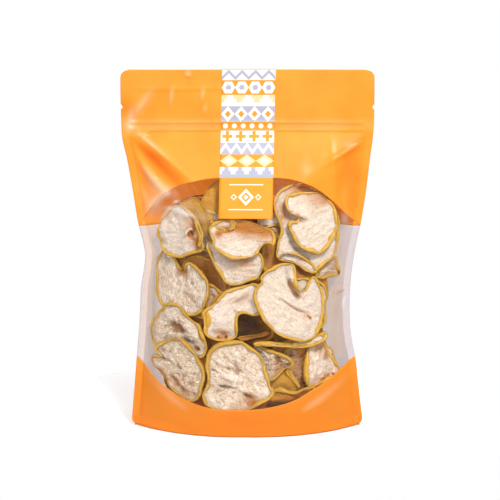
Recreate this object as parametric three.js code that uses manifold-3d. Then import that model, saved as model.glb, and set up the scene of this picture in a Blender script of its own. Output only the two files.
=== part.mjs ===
// A stand-up pouch of dried pear slices, filled, closed and standing on its opened bottom gusset.
// Millimetres, +Z up. The origin is on the table under the middle of the pouch, and the front faces -Y.
// The pouch is one closed solid of its outer form: flat top with a zip, creased shoulders, round belly,
// side seals and a flat floor inside the bottom rim. The label is a strip folded over the top edge.
import * as THREE from 'three';
import { mergeVertices } from 'three/addons/utils/BufferGeometryUtils.js';
import Module from 'manifold-3d';

const wasm = await Module();
wasm.setup();

// Driving dimensions of the pouch
const bagHeight = 260;
const sealHalfThickness = 0.75; // half of the flat, sealed part
const sideSeal = 5; // flat seal along both sides
const topCornerRadius = 6;
const bottomCornerRadius = 6;
const zipLines = [217, 222.5]; // heights of the two ridges of the zip
const zipRidge = 0.7;
const zipRidgeSpread = 1.0;
const shoulderSlope = 0.5; // how fast the front leaves the flat top below the zip
const shoulderLean = 1.5; // mm of rounding where the shoulder leaves the zip
const creaseSharp = 2.5; // mm of rounding of a crease at the zip
const creaseSoft = 8; // mm of rounding of a crease at the belly
const bellyFront = 37.5;
const bellyBack = 37.5;

// Half widths at heights above the table, for the left and the right edge seen from the front
const leftEdge = [
  [0, 85.2], [26, 82.8], [50, 80.8], [80, 78.3], [104, 77], [116, 74.9], [127, 73.8],
  [139, 75.9], [151, 78.7], [174, 82.2], [197, 86.1], [210, 89], [222, 90], [260, 90],
];
const rightEdge = [
  [0, 84.8], [26, 81.5], [50, 78.6], [64, 75.8], [76, 74.4], [98, 74.2], [116, 75.4],
  [133, 78], [151, 81.6], [174, 85], [197, 87.5], [210, 89.2], [222, 90], [260, 90],
];
// Depth of the belly over its greatest depth, and how full its section is, at heights above the table
const bellyShare = [[0, 0.86], [16, 0.9], [52, 0.985], [88, 1], [124, 0.985], [150, 0.96], [260, 0.96]];
const fullness = [[0, 2.5], [60, 2.3], [120, 2.15], [150, 1.5], [180, 1.0], [260, 1.0]];

// The gentle wave of the flat top, seen from above
const topWave = 1.1;
const topWaveLength = 150;
const topWaveFrom = 205;

// Tear notches in both side edges
const notchHeight = 233.5;
const notchDepth = 2.4;
const notchHalf = 1.3;
const notchCutLength = 20; // how far the cutting prism goes through the seal

// The groove between the bottom rim and the floor
const rimWidth = 4;
const grooveWidth = 5;
const grooveDepth = 1.8;
const baseHalfWidth = 84.4;
const grooveEndInset = 2.2; // the groove stays this many times further in at both ends than along the sides
const grooveSteps = 28;

// The label: a strip down the front, over the top edge and a little way down the back
const labelWidth = 38;
const labelThickness = 0.4;
const labelGap = 0.3;
const labelFoot = 157.6; // height of its lower edge on the front
const labelBackFoot = 222; // height of its lower edge on the back
const labelCentreAtTop = 1.1;
const labelLean = 0.0245; // sideways per mm of length

// Mesh fineness
const columns = 40;
const sealColumn = 0.94; // the column where the side seal begins, as a share of the half width
const rowHeights = rows([
  [0, 6, 4], [6, 30, 3], [30, 110, 9], [110, 150, 6], [150, 213, 13], [213, 215.4, 1],
  [215.4, 224.2, 8], [224.2, 254, 3], [254, bagHeight, 5],
]);
const labelColumns = 6;
const labelFoldRows = 6;
// The label follows the rows of the pouch, so it lies at an even distance from it
const labelFront = [labelFoot, ...rowHeights.filter((z) => z > labelFoot)];
const labelBack = [labelBackFoot, ...rowHeights.filter((z) => z > labelBackFoot)].reverse();

// Heights of mesh rows: each span is [from, to, how many rows]
function rows(spans) {
  const heights = [spans[0][0]];
  for (const [from, to, count] of spans) {
    for (let i = 1; i <= count; i += 1) {
      heights.push(from + (to - from) * i / count);
    }
  }
  return heights;
}

function clamp(value, low, high) {
  return Math.min(high, Math.max(low, value));
}

function smoothstep(low, high, value) {
  const t = clamp((value - low) / (high - low), 0, 1);
  return t * t * (3 - 2 * t);
}

// The lesser of two depths, with the crease between them rounded over k
function roundedMin(a, b, k) {
  const h = clamp(0.5 + 0.5 * (b - a) / k, 0, 1);
  return b + (a - b) * h - k * h * (1 - h);
}

// A smooth curve through [height, value] stations
function along(stations, height) {
  const last = stations.length - 1;
  if (height <= stations[0][0]) return stations[0][1];
  if (height >= stations[last][0]) return stations[last][1];
  let i = 0;
  while (stations[i + 1][0] < height) i += 1;
  const slope = (j) => {
    const a = stations[Math.max(0, j - 1)];
    const b = stations[Math.min(last, j + 1)];
    return (b[1] - a[1]) / (b[0] - a[0]);
  };
  const span = stations[i + 1][0] - stations[i][0];
  const t = (height - stations[i][0]) / span;
  const t2 = t * t;
  const t3 = t2 * t;
  return (2 * t3 - 3 * t2 + 1) * stations[i][1] + (t3 - 2 * t2 + t) * span * slope(i)
    + (3 * t2 - 2 * t3) * stations[i + 1][1] + (t3 - t2) * span * slope(i + 1);
}

// How much a rounded corner of the given radius takes off the half width, at a distance from its end
function cornerCut(radius, fromEnd) {
  const d = clamp(radius - fromEnd, 0, radius);
  return radius - Math.sqrt(radius * radius - d * d);
}

function halfWidth(side, z) {
  return along(side < 0 ? leftEdge : rightEdge, z);
}

function cutHalfWidth(side, z) {
  return halfWidth(side, z) - cornerCut(topCornerRadius, bagHeight - z) - cornerCut(bottomCornerRadius, z);
}

// Depth of a panel, front or back, outside the flat seal
function panelDepth(x, z, belly) {
  const reach = halfWidth(Math.sign(x), z) - sideSeal;
  const t = clamp(Math.abs(x) / reach, 0, 1);
  const round = belly * along(bellyShare, z) * (1 - t ** along(fullness, z));
  const drop = Math.max(0, zipLines[0] - z);
  const shoulder = shoulderSlope * (Math.sqrt(drop * drop + shoulderLean ** 2) - shoulderLean);
  const rounding = creaseSharp + (creaseSoft - creaseSharp) * smoothstep(200, 130, z);
  return Math.max(0, roundedMin(round, shoulder, rounding));
}

function zipRelief(x, z) {
  const inside = smoothstep(90 - sideSeal, 90 - sideSeal - 4, Math.abs(x));
  const ridge = zipLines.reduce((sum, line) => sum + Math.exp(-(((z - line) / zipRidgeSpread) ** 2)), 0);
  return zipRidge * inside * ridge;
}

function wave(x, z) {
  return topWave * smoothstep(topWaveFrom, bagHeight, z) * Math.sin(2 * Math.PI * (x + 20) / topWaveLength);
}

// Y of the outer face: side is -1 for the front and 1 for the back
function faceY(x, z, side) {
  const depth = panelDepth(x, z, side < 0 ? bellyFront : bellyBack);
  return wave(x, z) + side * (sealHalfThickness + depth + zipRelief(x, z));
}

// X of a mesh column at share u of the half width, with more columns near the steep sides
function columnX(u, z) {
  const side = Math.sign(u);
  const edge = cutHalfWidth(side, z);
  const reach = edge - sideSeal;
  const a = Math.abs(u);
  if (a > sealColumn) return side * (reach + sideSeal * (a - sealColumn) / (1 - sealColumn));
  return side * reach * Math.sin((Math.PI / 2) * (a / sealColumn));
}

function solidOf(geometry) {
  const plain = geometry.clone();
  plain.deleteAttribute('normal');
  plain.deleteAttribute('uv');
  const merged = mergeVertices(plain, 1e-4);
  return new wasm.Manifold(new wasm.Mesh({
    numProp: 3,
    vertProperties: new Float32Array(merged.attributes.position.array),
    triVerts: new Uint32Array(merged.index.array),
  }));
}

function geometryOf(solid) {
  const mesh = solid.getMesh();
  const geometry = new THREE.BufferGeometry();
  geometry.setAttribute('position', new THREE.BufferAttribute(new Float32Array(mesh.vertProperties), 3));
  geometry.setIndex(new THREE.BufferAttribute(new Uint32Array(mesh.triVerts), 1));
  geometry.computeVertexNormals();
  return geometry;
}

// Moves every vertex of a box of grid faces to place(across, up, depth): across and depth from -1 to 1,
// up as the number of the mesh row
function shapedBox(across, up, place) {
  const geometry = new THREE.BoxGeometry(2, 2, up, across, 1, up);
  const position = geometry.attributes.position;
  for (let i = 0; i < position.count; i += 1) {
    const row = Math.round(position.getZ(i) + up / 2);
    const column = Math.round((position.getX(i) + 1) * across / 2);
    position.setXYZ(i, ...place(column, row, Math.sign(position.getY(i))));
  }
  return geometry;
}

function pouchBody() {
  const last = rowHeights.length - 1;
  return shapedBox(columns, last, (column, row, side) => {
    const middle = columns / 2;
    const steps = Math.abs(column - middle);
    const u = Math.sign(column - middle) * (steps === middle ? 1 : steps * sealColumn / (middle - 1));
    const z = rowHeights[row];
    const x = columnX(u, z);
    return [x, faceY(x, z, side), z];
  });
}

function tearNotches() {
  const notches = [-1, 1].map((side) => {
    const edge = halfWidth(side, notchHeight);
    const cut = new THREE.Shape();
    cut.moveTo(side * (edge - notchDepth), 0);
    cut.lineTo(side * (edge + notchDepth), 2 * notchHalf * side);
    cut.lineTo(side * (edge + notchDepth), -2 * notchHalf * side);
    const prism = new THREE.ExtrudeGeometry(cut, { depth: notchCutLength, bevelEnabled: false });
    prism.translate(0, 0, -notchCutLength / 2);
    prism.rotateX(Math.PI / 2);
    prism.translate(0, 0, notchHeight);
    return solidOf(prism);
  });
  return notches[0].add(notches[1]);
}

// The outline of the base, drawn in by inset
function baseOutline(inset) {
  const reach = baseHalfWidth - bottomCornerRadius - sideSeal - grooveEndInset * inset;
  const depthAt = (x, side) => Math.abs(faceY(x, 0, side)) - inset;
  const front = [];
  const back = [];
  for (let i = 0; i <= grooveSteps; i += 1) {
    const x = reach * Math.sin((Math.PI / 2) * (2 * i / grooveSteps - 1));
    front.push(new THREE.Vector2(x, -Math.max(1, depthAt(x, -1))));
    if (i > 0 && i < grooveSteps) back.unshift(new THREE.Vector2(x, Math.max(1, depthAt(x, 1))));
  }
  return [...front, ...back];
}

function baseGroove() {
  const ring = new THREE.Shape(baseOutline(rimWidth));
  ring.holes.push(new THREE.Path(baseOutline(rimWidth + grooveWidth)));
  const groove = new THREE.ExtrudeGeometry(ring, { depth: grooveDepth + 1, bevelEnabled: false });
  groove.translate(0, 0, -1);
  return solidOf(groove);
}

// A point of the label: row counts up the front, over the fold and down the back; out is 0 inside, 1 outside
function labelPoint(column, row, out) {
  const across = (column / labelColumns - 0.5) * labelWidth;
  const lift = labelGap + out * labelThickness;
  const foldRow = row - (labelFront.length - 1);
  const backRow = foldRow - labelFoldRows;
  if (foldRow <= 0) {
    const z = labelFront[row];
    const x = labelCentreAtTop - labelLean * (bagHeight - z) + across;
    return [x, faceY(x, z, -1) - lift, z];
  }
  if (backRow >= 0) {
    const z = labelBack[backRow];
    const x = labelCentreAtTop + labelLean * (bagHeight - z) + across;
    return [x, faceY(x, z, 1) + lift, z];
  }
  const turn = Math.PI * foldRow / labelFoldRows;
  const radius = sealHalfThickness + lift;
  const x = labelCentreAtTop + across;
  return [x, wave(x, bagHeight) - radius * Math.cos(turn), bagHeight + radius * Math.sin(turn)];
}

function labelStrip() {
  const up = labelFront.length + labelFoldRows + labelBack.length - 2;
  return shapedBox(labelColumns, up, (column, row, side) => labelPoint(column, row, side < 0 ? 1 : 0));
}

function named(name, geometry, colour, roughness) {
  const material = new THREE.MeshStandardMaterial({ color: colour, roughness, metalness: 0 });
  const mesh = new THREE.Mesh(geometry, material);
  mesh.name = name;
  return mesh;
}

const pouch = solidOf(pouchBody()).subtract(tearNotches()).subtract(baseGroove());

const group = new THREE.Group();
group.add(named('pouch', geometryOf(pouch), 0xfea53c, 0.42));
group.add(named('label', labelStrip(), 0xf8b032, 0.5));

export default group;
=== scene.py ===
import math
import random
import bmesh
import bpy
from mathutils import Matrix, Vector, noise


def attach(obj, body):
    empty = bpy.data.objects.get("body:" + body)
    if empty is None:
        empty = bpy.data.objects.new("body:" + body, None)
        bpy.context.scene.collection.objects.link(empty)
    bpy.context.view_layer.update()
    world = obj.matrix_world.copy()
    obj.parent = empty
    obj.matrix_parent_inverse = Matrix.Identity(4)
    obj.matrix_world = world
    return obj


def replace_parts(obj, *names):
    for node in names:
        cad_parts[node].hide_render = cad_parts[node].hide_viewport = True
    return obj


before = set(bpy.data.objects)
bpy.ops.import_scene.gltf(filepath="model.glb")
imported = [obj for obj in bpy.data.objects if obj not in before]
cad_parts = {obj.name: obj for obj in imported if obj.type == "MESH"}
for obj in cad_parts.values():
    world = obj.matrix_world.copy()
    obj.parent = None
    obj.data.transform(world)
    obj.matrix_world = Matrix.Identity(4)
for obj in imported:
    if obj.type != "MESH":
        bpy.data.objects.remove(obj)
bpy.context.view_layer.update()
print("frame loaded")

# Shapes are in millimetres and scaled once, when a mesh is finished. Materials and lights are in metres
mm = 0.001

# The camera stands straight in front, a little above the table's level
view = {
    "distance": 1300.0,
    "elevation": 10.25,
    "target": (1.8, 0.0, 130.2),
    "lens": 129.9,
    "sensor": 36.0,
    "pixels": 500,
    "farthest": 20.0,  # metres
}
lookTilt = math.radians(view["elevation"])
lookForward = Vector((0.0, math.cos(lookTilt), -math.sin(lookTilt)))
lookRight = Vector((1.0, 0.0, 0.0))
lookUp = lookRight.cross(lookForward)
eye = Vector(view["target"]) - lookForward * view["distance"]


def pixelRay(px, py):
    perPixel = view["sensor"] / view["pixels"] / view["lens"]
    half = view["pixels"] / 2
    return lookForward + lookRight * ((px - half) * perPixel) + lookUp * ((half - py) * perPixel)


def makeCamera():
    data = bpy.data.cameras.new("camera")
    data.lens = view["lens"]
    data.sensor_width = view["sensor"]
    data.clip_end = view["farthest"]
    camera = bpy.data.objects.new("camera", data)
    bpy.context.scene.collection.objects.link(camera)
    turn = Matrix((lookRight, lookUp, -lookForward)).transposed().to_4x4()
    camera.matrix_world = Matrix.Translation(eye * mm) @ turn
    bpy.context.scene.camera = camera


makeCamera()


def clamp(value, low, high):
    return min(high, max(low, value))


def mix(a, b, t):
    return a + (b - a) * t


def smoothStep(low, high, value):
    t = clamp((value - low) / (high - low), 0.0, 1.0)
    return t * t * (3 - 2 * t)


def roundedMin(a, b, k):
    h = clamp(0.5 + 0.5 * (b - a) / k, 0.0, 1.0)
    return b + (a - b) * h - k * h * (1 - h)


# a smooth curve through (place, value) stations
def along(stations, at):
    last = len(stations) - 1
    if at <= stations[0][0]:
        return stations[0][1]
    if at >= stations[last][0]:
        return stations[last][1]
    i = 0
    while stations[i + 1][0] < at:
        i += 1

    def slope(j):
        a = stations[max(0, j - 1)]
        b = stations[min(last, j + 1)]
        return (b[1] - a[1]) / (b[0] - a[0])

    span = stations[i + 1][0] - stations[i][0]
    t = (at - stations[i][0]) / span
    t2 = t * t
    t3 = t2 * t
    return ((2 * t3 - 3 * t2 + 1) * stations[i][1] + (t3 - 2 * t2 + t) * span * slope(i)
            + (3 * t2 - 2 * t3) * stations[i + 1][1] + (t3 - t2) * span * slope(i + 1))


def bell(a, b, middle, long, wide, turn):
    c = math.cos(math.radians(turn))
    n = math.sin(math.radians(turn))
    da = a - middle[0]
    db = b - middle[1]
    return ((da * c + db * n) / long) ** 2 + ((db * c - da * n) / wide) ** 2


def linear(red, green, blue):
    def one(value):
        value /= 255
        return value / 12.92 if value <= 0.04045 else ((value + 0.055) / 1.055) ** 2.4
    return (one(red), one(green), one(blue), 1.0)


# The filled bag's form. Its edges, and the belly's share and fullness, are stations of (height, value)
bag = {
    "height": 260.0,
    "widest": 90.0,
    "sideSeal": 5.0,
    "sealHalf": 0.18,
    "topCorner": 6.0,
    "bottomCorner": 6.0,
    "zipLines": (217.0, 222.5),
    "zipRidge": 0.75,
    "zipSpread": 0.8,
    "zipFade": 4.0,
    "shoulderSlope": 0.5,
    "shoulderLean": 1.5,
    "creaseSharp": 1.2,
    "creaseSoft": 8.0,
    "creaseSoftens": (200.0, 130.0),
    "bellyFront": 37.5,
    "bellyBack": 37.3,
    "wave": 1.1,
    "waveLength": 150.0,
    "waveFrom": 205.0,
    "waveStart": -20.0,
    "curl": 4.0,
    "curlSpan": (-74.0, -92.0),
    "curlHeight": 227.0,
    "curlHigh": 9.0,
    "notchHeight": 233.5,
    "notchDepth": 2.4,
    "notchHalf": 1.7,
    "film": 0.16,
}
leftEdge = [
    (0, 85.2), (26, 82.8), (50, 80.8), (80, 78.3), (104, 77), (116, 74.9), (127, 73.8), (139, 75.9),
    (151, 78.7), (174, 82.2), (197, 86.1), (210, 89), (222, 90), (260, 90),
]
rightEdge = [
    (0, 84.8), (26, 81.5), (50, 78.6), (64, 75.8), (76, 74.4), (98, 74.2), (116, 75.4), (133, 78),
    (151, 81.6), (174, 85), (197, 87.5), (210, 89.2), (222, 90), (260, 90),
]
bellyShare = [(0, 0.86), (16, 0.9), (52, 0.985), (88, 1), (124, 0.985), (150, 0.96), (260, 0.96)]
fullness = [(0, 2.5), (60, 2.3), (120, 2.15), (150, 1.5), (180, 1.0), (260, 1.0)]


def halfWidth(side, z):
    return along(leftEdge if side < 0 else rightEdge, z)


def cornerCut(radius, fromEnd):
    d = clamp(radius - fromEnd, 0.0, radius)
    return radius - math.sqrt(radius * radius - d * d)


def cutHalfWidth(side, z):
    cut = cornerCut(bag["topCorner"], bag["height"] - z) + cornerCut(bag["bottomCorner"], z)
    notch = max(0.0, 1 - abs(z - bag["notchHeight"]) / bag["notchHalf"]) * bag["notchDepth"]
    return halfWidth(side, z) - cut - notch


# Creases and dents of the two panels: x, z, length, width, turn in degrees, and height outwards
frontFolds = [
    (-63, 203, 25, 1.9, -41, 1.5), (-68, 194.5, 22, 5.0, -43, -2.4), (-68, 183.5, 13, 3.0, -50, 2.8),
    (-76, 177, 12, 3.0, -64, -1.2), (-79, 229, 7, 3.0, 60, 0.9), (-75, 235, 12, 2.2, 53, 1.1),
    (-54, 241, 6, 1.3, 84, 0.9), (-42, 256, 5, 2.0, -60, 0.9), (-32, 242.5, 5, 1.2, 88, 0.9),
    (-30, 231.5, 4, 1.3, 80, 0.8), (74, 204, 17, 2.0, 29, 1.8), (62, 184, 15, 2.2, 96, 1.6),
    (52, 189, 16, 5.0, 50, -0.9), (70, 183, 15, 4.5, 80, -2.0), (72, 160, 15, 2.6, 112, 1.6),
    (45, 235.5, 36, 1.4, 1, -0.6), (48, 231, 30, 1.5, -1, -0.6), (-45, 246.5, 40, 1.6, 0, 0.4),
    (45, 253.5, 60, 1.0, 0, -0.4), (-45, 253.5, 60, 1.0, 0, -0.4), (45, 245, 60, 1.0, 0, -0.35),
    (-78, 213, 9, 1.2, 20, 0.8), (-70, 134, 11, 2.6, 22, -3.4), (-67, 129.5, 12, 2.0, 36, 2.6),
    (-71, 121, 9, 2.4, 66, 1.8), (66, 110, 8, 1.8, -30, 2.8), (66, 106, 9, 1.6, -12, -3.0),
    (68, 102, 8, 1.6, 14, 2.6), (70, 96, 9, 2.0, 52, 2.0), (63, 84, 22, 3.0, 86, 1.5),
    (-66, 84, 26, 3.0, 92, 1.4), (64, 132, 14, 2.6, 104, 1.4),
]
backFolds = [
    (60, 197, 30, 2.4, 40, 1.5), (-62, 194, 26, 2.4, -44, 1.3), (-20, 150, 30, 4.0, 12, 0.8),
    (30, 120, 24, 3.4, -28, 0.9), (-34, 84, 26, 3.6, 34, 0.9), (28, 52, 26, 3.2, 12, 0.8),
]
foldReach = 9.0  # where a fold no longer counts, as the square of its lengths and widths

# Each fold's turn is worked out once, as its cosine and sine
turnedFolds = {-1: [], 1: []}
for side, folds in ((-1, frontFolds), (1, backFolds)):
    for x, z, long, wide, turn, high in folds:
        angle = math.radians(turn)
        turnedFolds[side].append((x, z, long, wide, math.cos(angle), math.sin(angle), high))


def foldHeight(side, x, z):
    height = 0.0
    for foldX, foldZ, long, wide, turnCos, turnSin, high in turnedFolds[side]:
        dx = x - foldX
        dz = z - foldZ
        a = (dx * turnCos + dz * turnSin) / long
        b = (dz * turnCos - dx * turnSin) / wide
        reach = a * a + b * b
        if reach < foldReach:
            height += high * math.exp(-reach)
    return height


# how far a panel stands out of the plane of the seals, for the belly's greatest depth
def panelDepth(x, z, deepest):
    reach = halfWidth(x, z) - bag["sideSeal"]
    t = min(1.0, abs(x) / reach)
    bulge = deepest * along(bellyShare, z) * (1 - t ** along(fullness, z))
    drop = max(0.0, bag["zipLines"][0] - z)
    lean = bag["shoulderLean"]
    shoulder = bag["shoulderSlope"] * (math.sqrt(drop * drop + lean * lean) - lean)
    rounding = mix(bag["creaseSharp"], bag["creaseSoft"], smoothStep(*bag["creaseSoftens"], z))
    return max(0.0, roundedMin(bulge, shoulder, rounding))


def zipRelief(x, z):
    reach = bag["widest"] - bag["sideSeal"]
    inside = smoothStep(reach, reach - bag["zipFade"], abs(x))
    ridge = sum(math.exp(-((z - line) / bag["zipSpread"]) ** 2) for line in bag["zipLines"])
    return bag["zipRidge"] * inside * ridge


# the sealed top waves, and the left edge curls back beside the zip
def topWave(x, z):
    curl = bag["curl"] * smoothStep(*bag["curlSpan"], x)
    curl *= math.exp(-((z - bag["curlHeight"]) / bag["curlHigh"]) ** 2)
    wave = bag["wave"] * smoothStep(bag["waveFrom"], bag["height"], z)
    return curl + wave * math.sin(2 * math.pi * (x - bag["waveStart"]) / bag["waveLength"])


# Loose film is uneven where it stands clear of the seals. Waves have an amount, width, height and seed
slack = {
    "waves": [(0.55, 34, 27, 5.0), (0.22, 13, 10, 9.0)],
    "amount": 1.6,
    "depths": (0.3, 9.0),
    "fade": 7.0,
}


# y of a film panel's outer face; side is -1 for the front and 1 for the back
def filmY(x, z, side, fine=True):
    depth = panelDepth(x, z, bag["bellyFront"] if side < 0 else bag["bellyBack"])
    relief = zipRelief(x, z)
    if fine:
        loose = smoothStep(*slack["depths"], depth)
        flat = smoothStep(0, slack["fade"], halfWidth(x, z) - bag["sideSeal"] - abs(x))
        uneven = sum(amount * noise.noise(Vector((x / wide, z / high, side * seed)))
                     for amount, wide, high, seed in slack["waves"])
        relief += uneven * loose * flat * slack["amount"]
        relief += foldHeight(side, x, z) * flat
    return topWave(x, z) + side * max(bag["sealHalf"], bag["sealHalf"] + depth + relief)


# where a pixel's ray meets the front film, or a layer some way behind it, from a first guess that the
# rounds improve
def filmPoint(px, py, behind=0.0):
    ray = pixelRay(px, py)
    y = -30.0
    rounds = 14
    for _ in range(rounds):
        point = eye + ray * ((y - eye.y) / ray.y)
        y = filmY(point.x, point.z, -1, fine=False) + behind
    return point


# Painted highlights (above 0) and painted shade (below 0) on the front film along its folds: middle, length
# and width in pixels of the view, turn in degrees, and amount
pixelSize = 0.713  # mm of the front film
frontPaintedLight = [
    (149, 142, 19, 1.8, -37, 0.5), (131, 120, 11, 4.2, 80, 0.42), (151, 178, 12, 3.6, -54, 0.5),
    (159, 187, 9, 6.0, -48, 0.4), (153, 158, 18, 5.0, -42, -0.55), (173, 177, 14, 4.4, -44, -0.4),
    (133.4, 121, 3, 1.2, 0, 0.6), (131.5, 127, 3, 1.2, 0, 0.6), (142, 104, 15, 4.5, 53, 0.26),
    (171.4, 95.5, 7, 1.8, 84, 0.34), (188, 73.5, 3, 2.6, 84, 0.34), (202.7, 93.5, 5, 1.6, 86, 0.34),
    (205, 109, 4, 1.6, 86, 0.24), (352, 178, 34, 10.0, 88, -0.5), (350, 145.5, 17, 1.3, 28, -0.4),
    (345, 219, 9, 5.0, 90, 0.5), (150, 214, 10, 6.0, 90, 0.2), (170, 396, 24, 4.0, -36, 0.18),
    (240, 418, 34, 4.0, 0, 0.1), (316, 402, 30, 4.0, 32, 0.22), (238, 416, 12, 8.0, 0, -0.3),
    (144, 237, 13, 1.3, 88, 0.45), (149, 240, 14, 1.6, 90, -0.16), (152.4, 239, 12, 1.4, 92, -0.4),
    (155.6, 236, 10, 1.2, 90, 0.34), (150.5, 250, 6, 1.2, 28, 0.9), (156, 258, 9, 3.2, 60, -0.5),
    (149.5, 300, 45, 1.5, 90, 0.3), (155, 325, 26, 3.4, 92, -0.5), (143.4, 290, 25, 1.1, 90, 0.25),
    (147, 250.6, 5, 1.4, 10, -0.5), (347, 245, 22, 4.6, 81, 0.16), (339.6, 250, 18, 4.2, 76, -0.6),
    (342, 291, 6, 1.5, 10, -1.0), (333, 292, 6, 1.3, 15, -0.8), (343.6, 301, 13, 2.4, 80, 0.7),
    (347, 322, 22, 3.4, 86, 0.34), (334.6, 312, 24, 5.0, 86, -0.55), (338, 345, 14, 8.0, 70, -0.45),
    (160, 198, 13, 3.6, 40, 0.5), (176.4, 201.6, 3.4, 1.2, 12, 1.0), (176, 208, 11, 3.0, 6, 0.7),
    (186, 213.6, 10, 2.0, -14, 1.0), (165, 214, 9, 1.6, 58, 0.5), (205, 217, 7, 3.0, -30, 0.3),
    (170, 125, 60, 5, 0, 0.12), (330, 125, 60, 5, 0, 0.12), (256, 420, 52, 8, 0, -0.5),
    (154, 204, 17, 8, -54, 0.3), (168, 192, 9, 5, -30, 0.3),
]
paintedLightSpots = []
for px, py, long, wide, turn, amount in frontPaintedLight:
    spot = filmPoint(px, py)
    paintedLightSpots.append(((spot.x, spot.z), long * pixelSize, wide * pixelSize, turn, amount))


# how much painted highlight and painted shade the front film has at a place
def paintedLightAt(x, z):
    paintedAmount = sum(amount * math.exp(-bell(x, z, middle, long, wide, turn))
               for middle, long, wide, turn, amount in paintedLightSpots)
    return clamp(paintedAmount, 0.0, 1.0), clamp(-paintedAmount, 0.0, 1.0), 0.0, 1.0


# Edges of the print, as heights at shares of the half width
windowTop = [
    (-1.0, 147.5), (-0.92, 156.2), (-0.79, 168.5), (-0.61, 178), (-0.43, 182.7), (-0.23, 184.7),
    (0.22, 184.7), (0.37, 183.4), (0.5, 179.9), (0.6, 175.2), (0.74, 165.8), (0.85, 157.5), (1.0, 148),
]
windowFoot = [
    (-1.0, 52.5), (-0.84, 39.7), (-0.69, 31.8), (-0.5, 24.7), (-0.3, 20.9), (-0.04, 20.4), (0.21, 22.3),
    (0.43, 26.9), (0.64, 35.2), (0.83, 42.8), (1.0, 52),
]
backPrintFoot = 148.0
backFootDrop = 9.0


def finished(name, bm, material, slot, smooth=True):
    bmesh.ops.scale(bm, vec=(mm, mm, mm), verts=bm.verts)
    mesh = bpy.data.meshes.new(name)
    bm.to_mesh(mesh)
    bm.free()
    mesh.polygons.foreach_set("use_smooth", [smooth] * len(mesh.polygons))
    piece = bpy.data.objects.new(name, mesh)
    bpy.context.scene.collection.objects.link(piece)
    mesh.materials.append(material)
    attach(piece, "root")
    return piece


# a wall of even thickness behind a sheet, with its rim closed
def thicken(piece, thickness):
    solid = piece.modifiers.new("thickness", "SOLIDIFY")
    solid.thickness = thickness * mm
    solid.offset = -1.0
    solid.use_even_offset = False
    solid.use_rim = True


def sheetGrid(columns, rows):
    bm = bmesh.new()
    bmesh.ops.create_grid(bm, x_segments=columns, y_segments=rows, size=1.0)
    return bm


# a column of the film's mesh: its share of the half width, and its x at a height
sealColumn = 0.94


def columnShare(column):
    spread = abs(column)
    if spread > sealColumn:
        return column
    return math.copysign(sealColumn * math.sin(math.pi / 2 * spread / sealColumn), column)


def columnX(column, z):
    edge = cutHalfWidth(column, z)
    inner = edge - bag["sideSeal"]
    share = abs(columnShare(column))
    if share > sealColumn:
        x = inner + bag["sideSeal"] * (share - sealColumn) / (1 - sealColumn)
    else:
        x = inner * share / sealColumn
    return math.copysign(x, column)


# one band of a film panel, between a lower and an upper line given as heights at shares of the width
def filmBand(side, foot, top, columns, rows):
    bm = sheetGrid(columns, rows)
    # the front film carries its painted highlights and painted shade as a colour attribute
    painted_light = bm.verts.layers.float_color.new("painted_light")
    for vert in bm.verts:
        column = clamp(vert.co.x, -1.0, 1.0)
        share = columnShare(column)
        z = mix(foot(share), top(share), (vert.co.y + 1) / 2)
        x = columnX(column, z)
        vert.co = (x, filmY(x, z, side), z)
        vert[painted_light] = paintedLightAt(x, z) if side < 0 else (0.0, 0.0, 0.0, 1.0)
    if side > 0:
        bmesh.ops.reverse_faces(bm, faces=bm.faces)
    return bm


def level(z):
    return lambda share: z


def arc(stations, drop=0.0):
    return lambda share: along(stations, share) - drop


# Shader nodes
def nodesOf(name):
    material = bpy.data.materials.new(name)
    material.use_nodes = True
    tree = material.node_tree
    tree.nodes.clear()
    return material, tree


def add(tree, kind, inputs=None, **settings):
    node = tree.nodes.new(kind)
    for key, value in settings.items():
        setattr(node, key, value)
    for key, value in (inputs or {}).items():
        if isinstance(value, bpy.types.NodeSocket):
            tree.links.new(value, node.inputs[key])
        else:
            node.inputs[key].default_value = value
    return node


def ramp(tree, factor, stops):
    node = tree.nodes.new("ShaderNodeValToRGB")
    tree.links.new(factor, node.inputs["Fac"])
    elements = node.color_ramp.elements
    while len(elements) < len(stops):
        elements.new(0.5)
    for element, (place, colour) in zip(elements, stops):
        element.position = place
        element.color = colour
    return node.outputs["Color"]


def grey(value):
    return (value, value, value, 1.0)


def mixColour(tree, factor, a, b, blend="MIX"):
    node = tree.nodes.new("ShaderNodeMix")
    node.data_type = "RGBA"
    node.blend_type = blend
    for socket, value in ((node.inputs[0], factor), (node.inputs[6], a), (node.inputs[7], b)):
        if isinstance(value, bpy.types.NodeSocket):
            tree.links.new(value, socket)
        else:
            socket.default_value = value
    return node.outputs[2]


def calc(tree, operation, *values, clamped=False):
    node = add(tree, "ShaderNodeMath", dict(enumerate(values)), operation=operation, use_clamp=clamped)
    return node.outputs[0]


def blendShaders(tree, factor, first, second):
    return add(tree, "ShaderNodeMixShader", {0: factor, 1: first, 2: second}).outputs[0]


def objectPlace(tree):
    return tree.nodes.new("ShaderNodeTexCoord").outputs["Object"]


def stretched(tree, place, scale):
    return add(tree, "ShaderNodeMapping", {"Vector": place, "Scale": scale}).outputs[0]


def noiseShare(tree, place, scale, detail, roughness=0.5, distortion=0.0):
    return add(tree, "ShaderNodeTexNoise", {
        "Vector": place, "Scale": scale, "Detail": detail, "Roughness": roughness, "Distortion": distortion,
    }).outputs["Fac"]


def output(tree, shader):
    end = tree.nodes.new("ShaderNodeOutputMaterial")
    tree.links.new(shader, end.inputs["Surface"])


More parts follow.
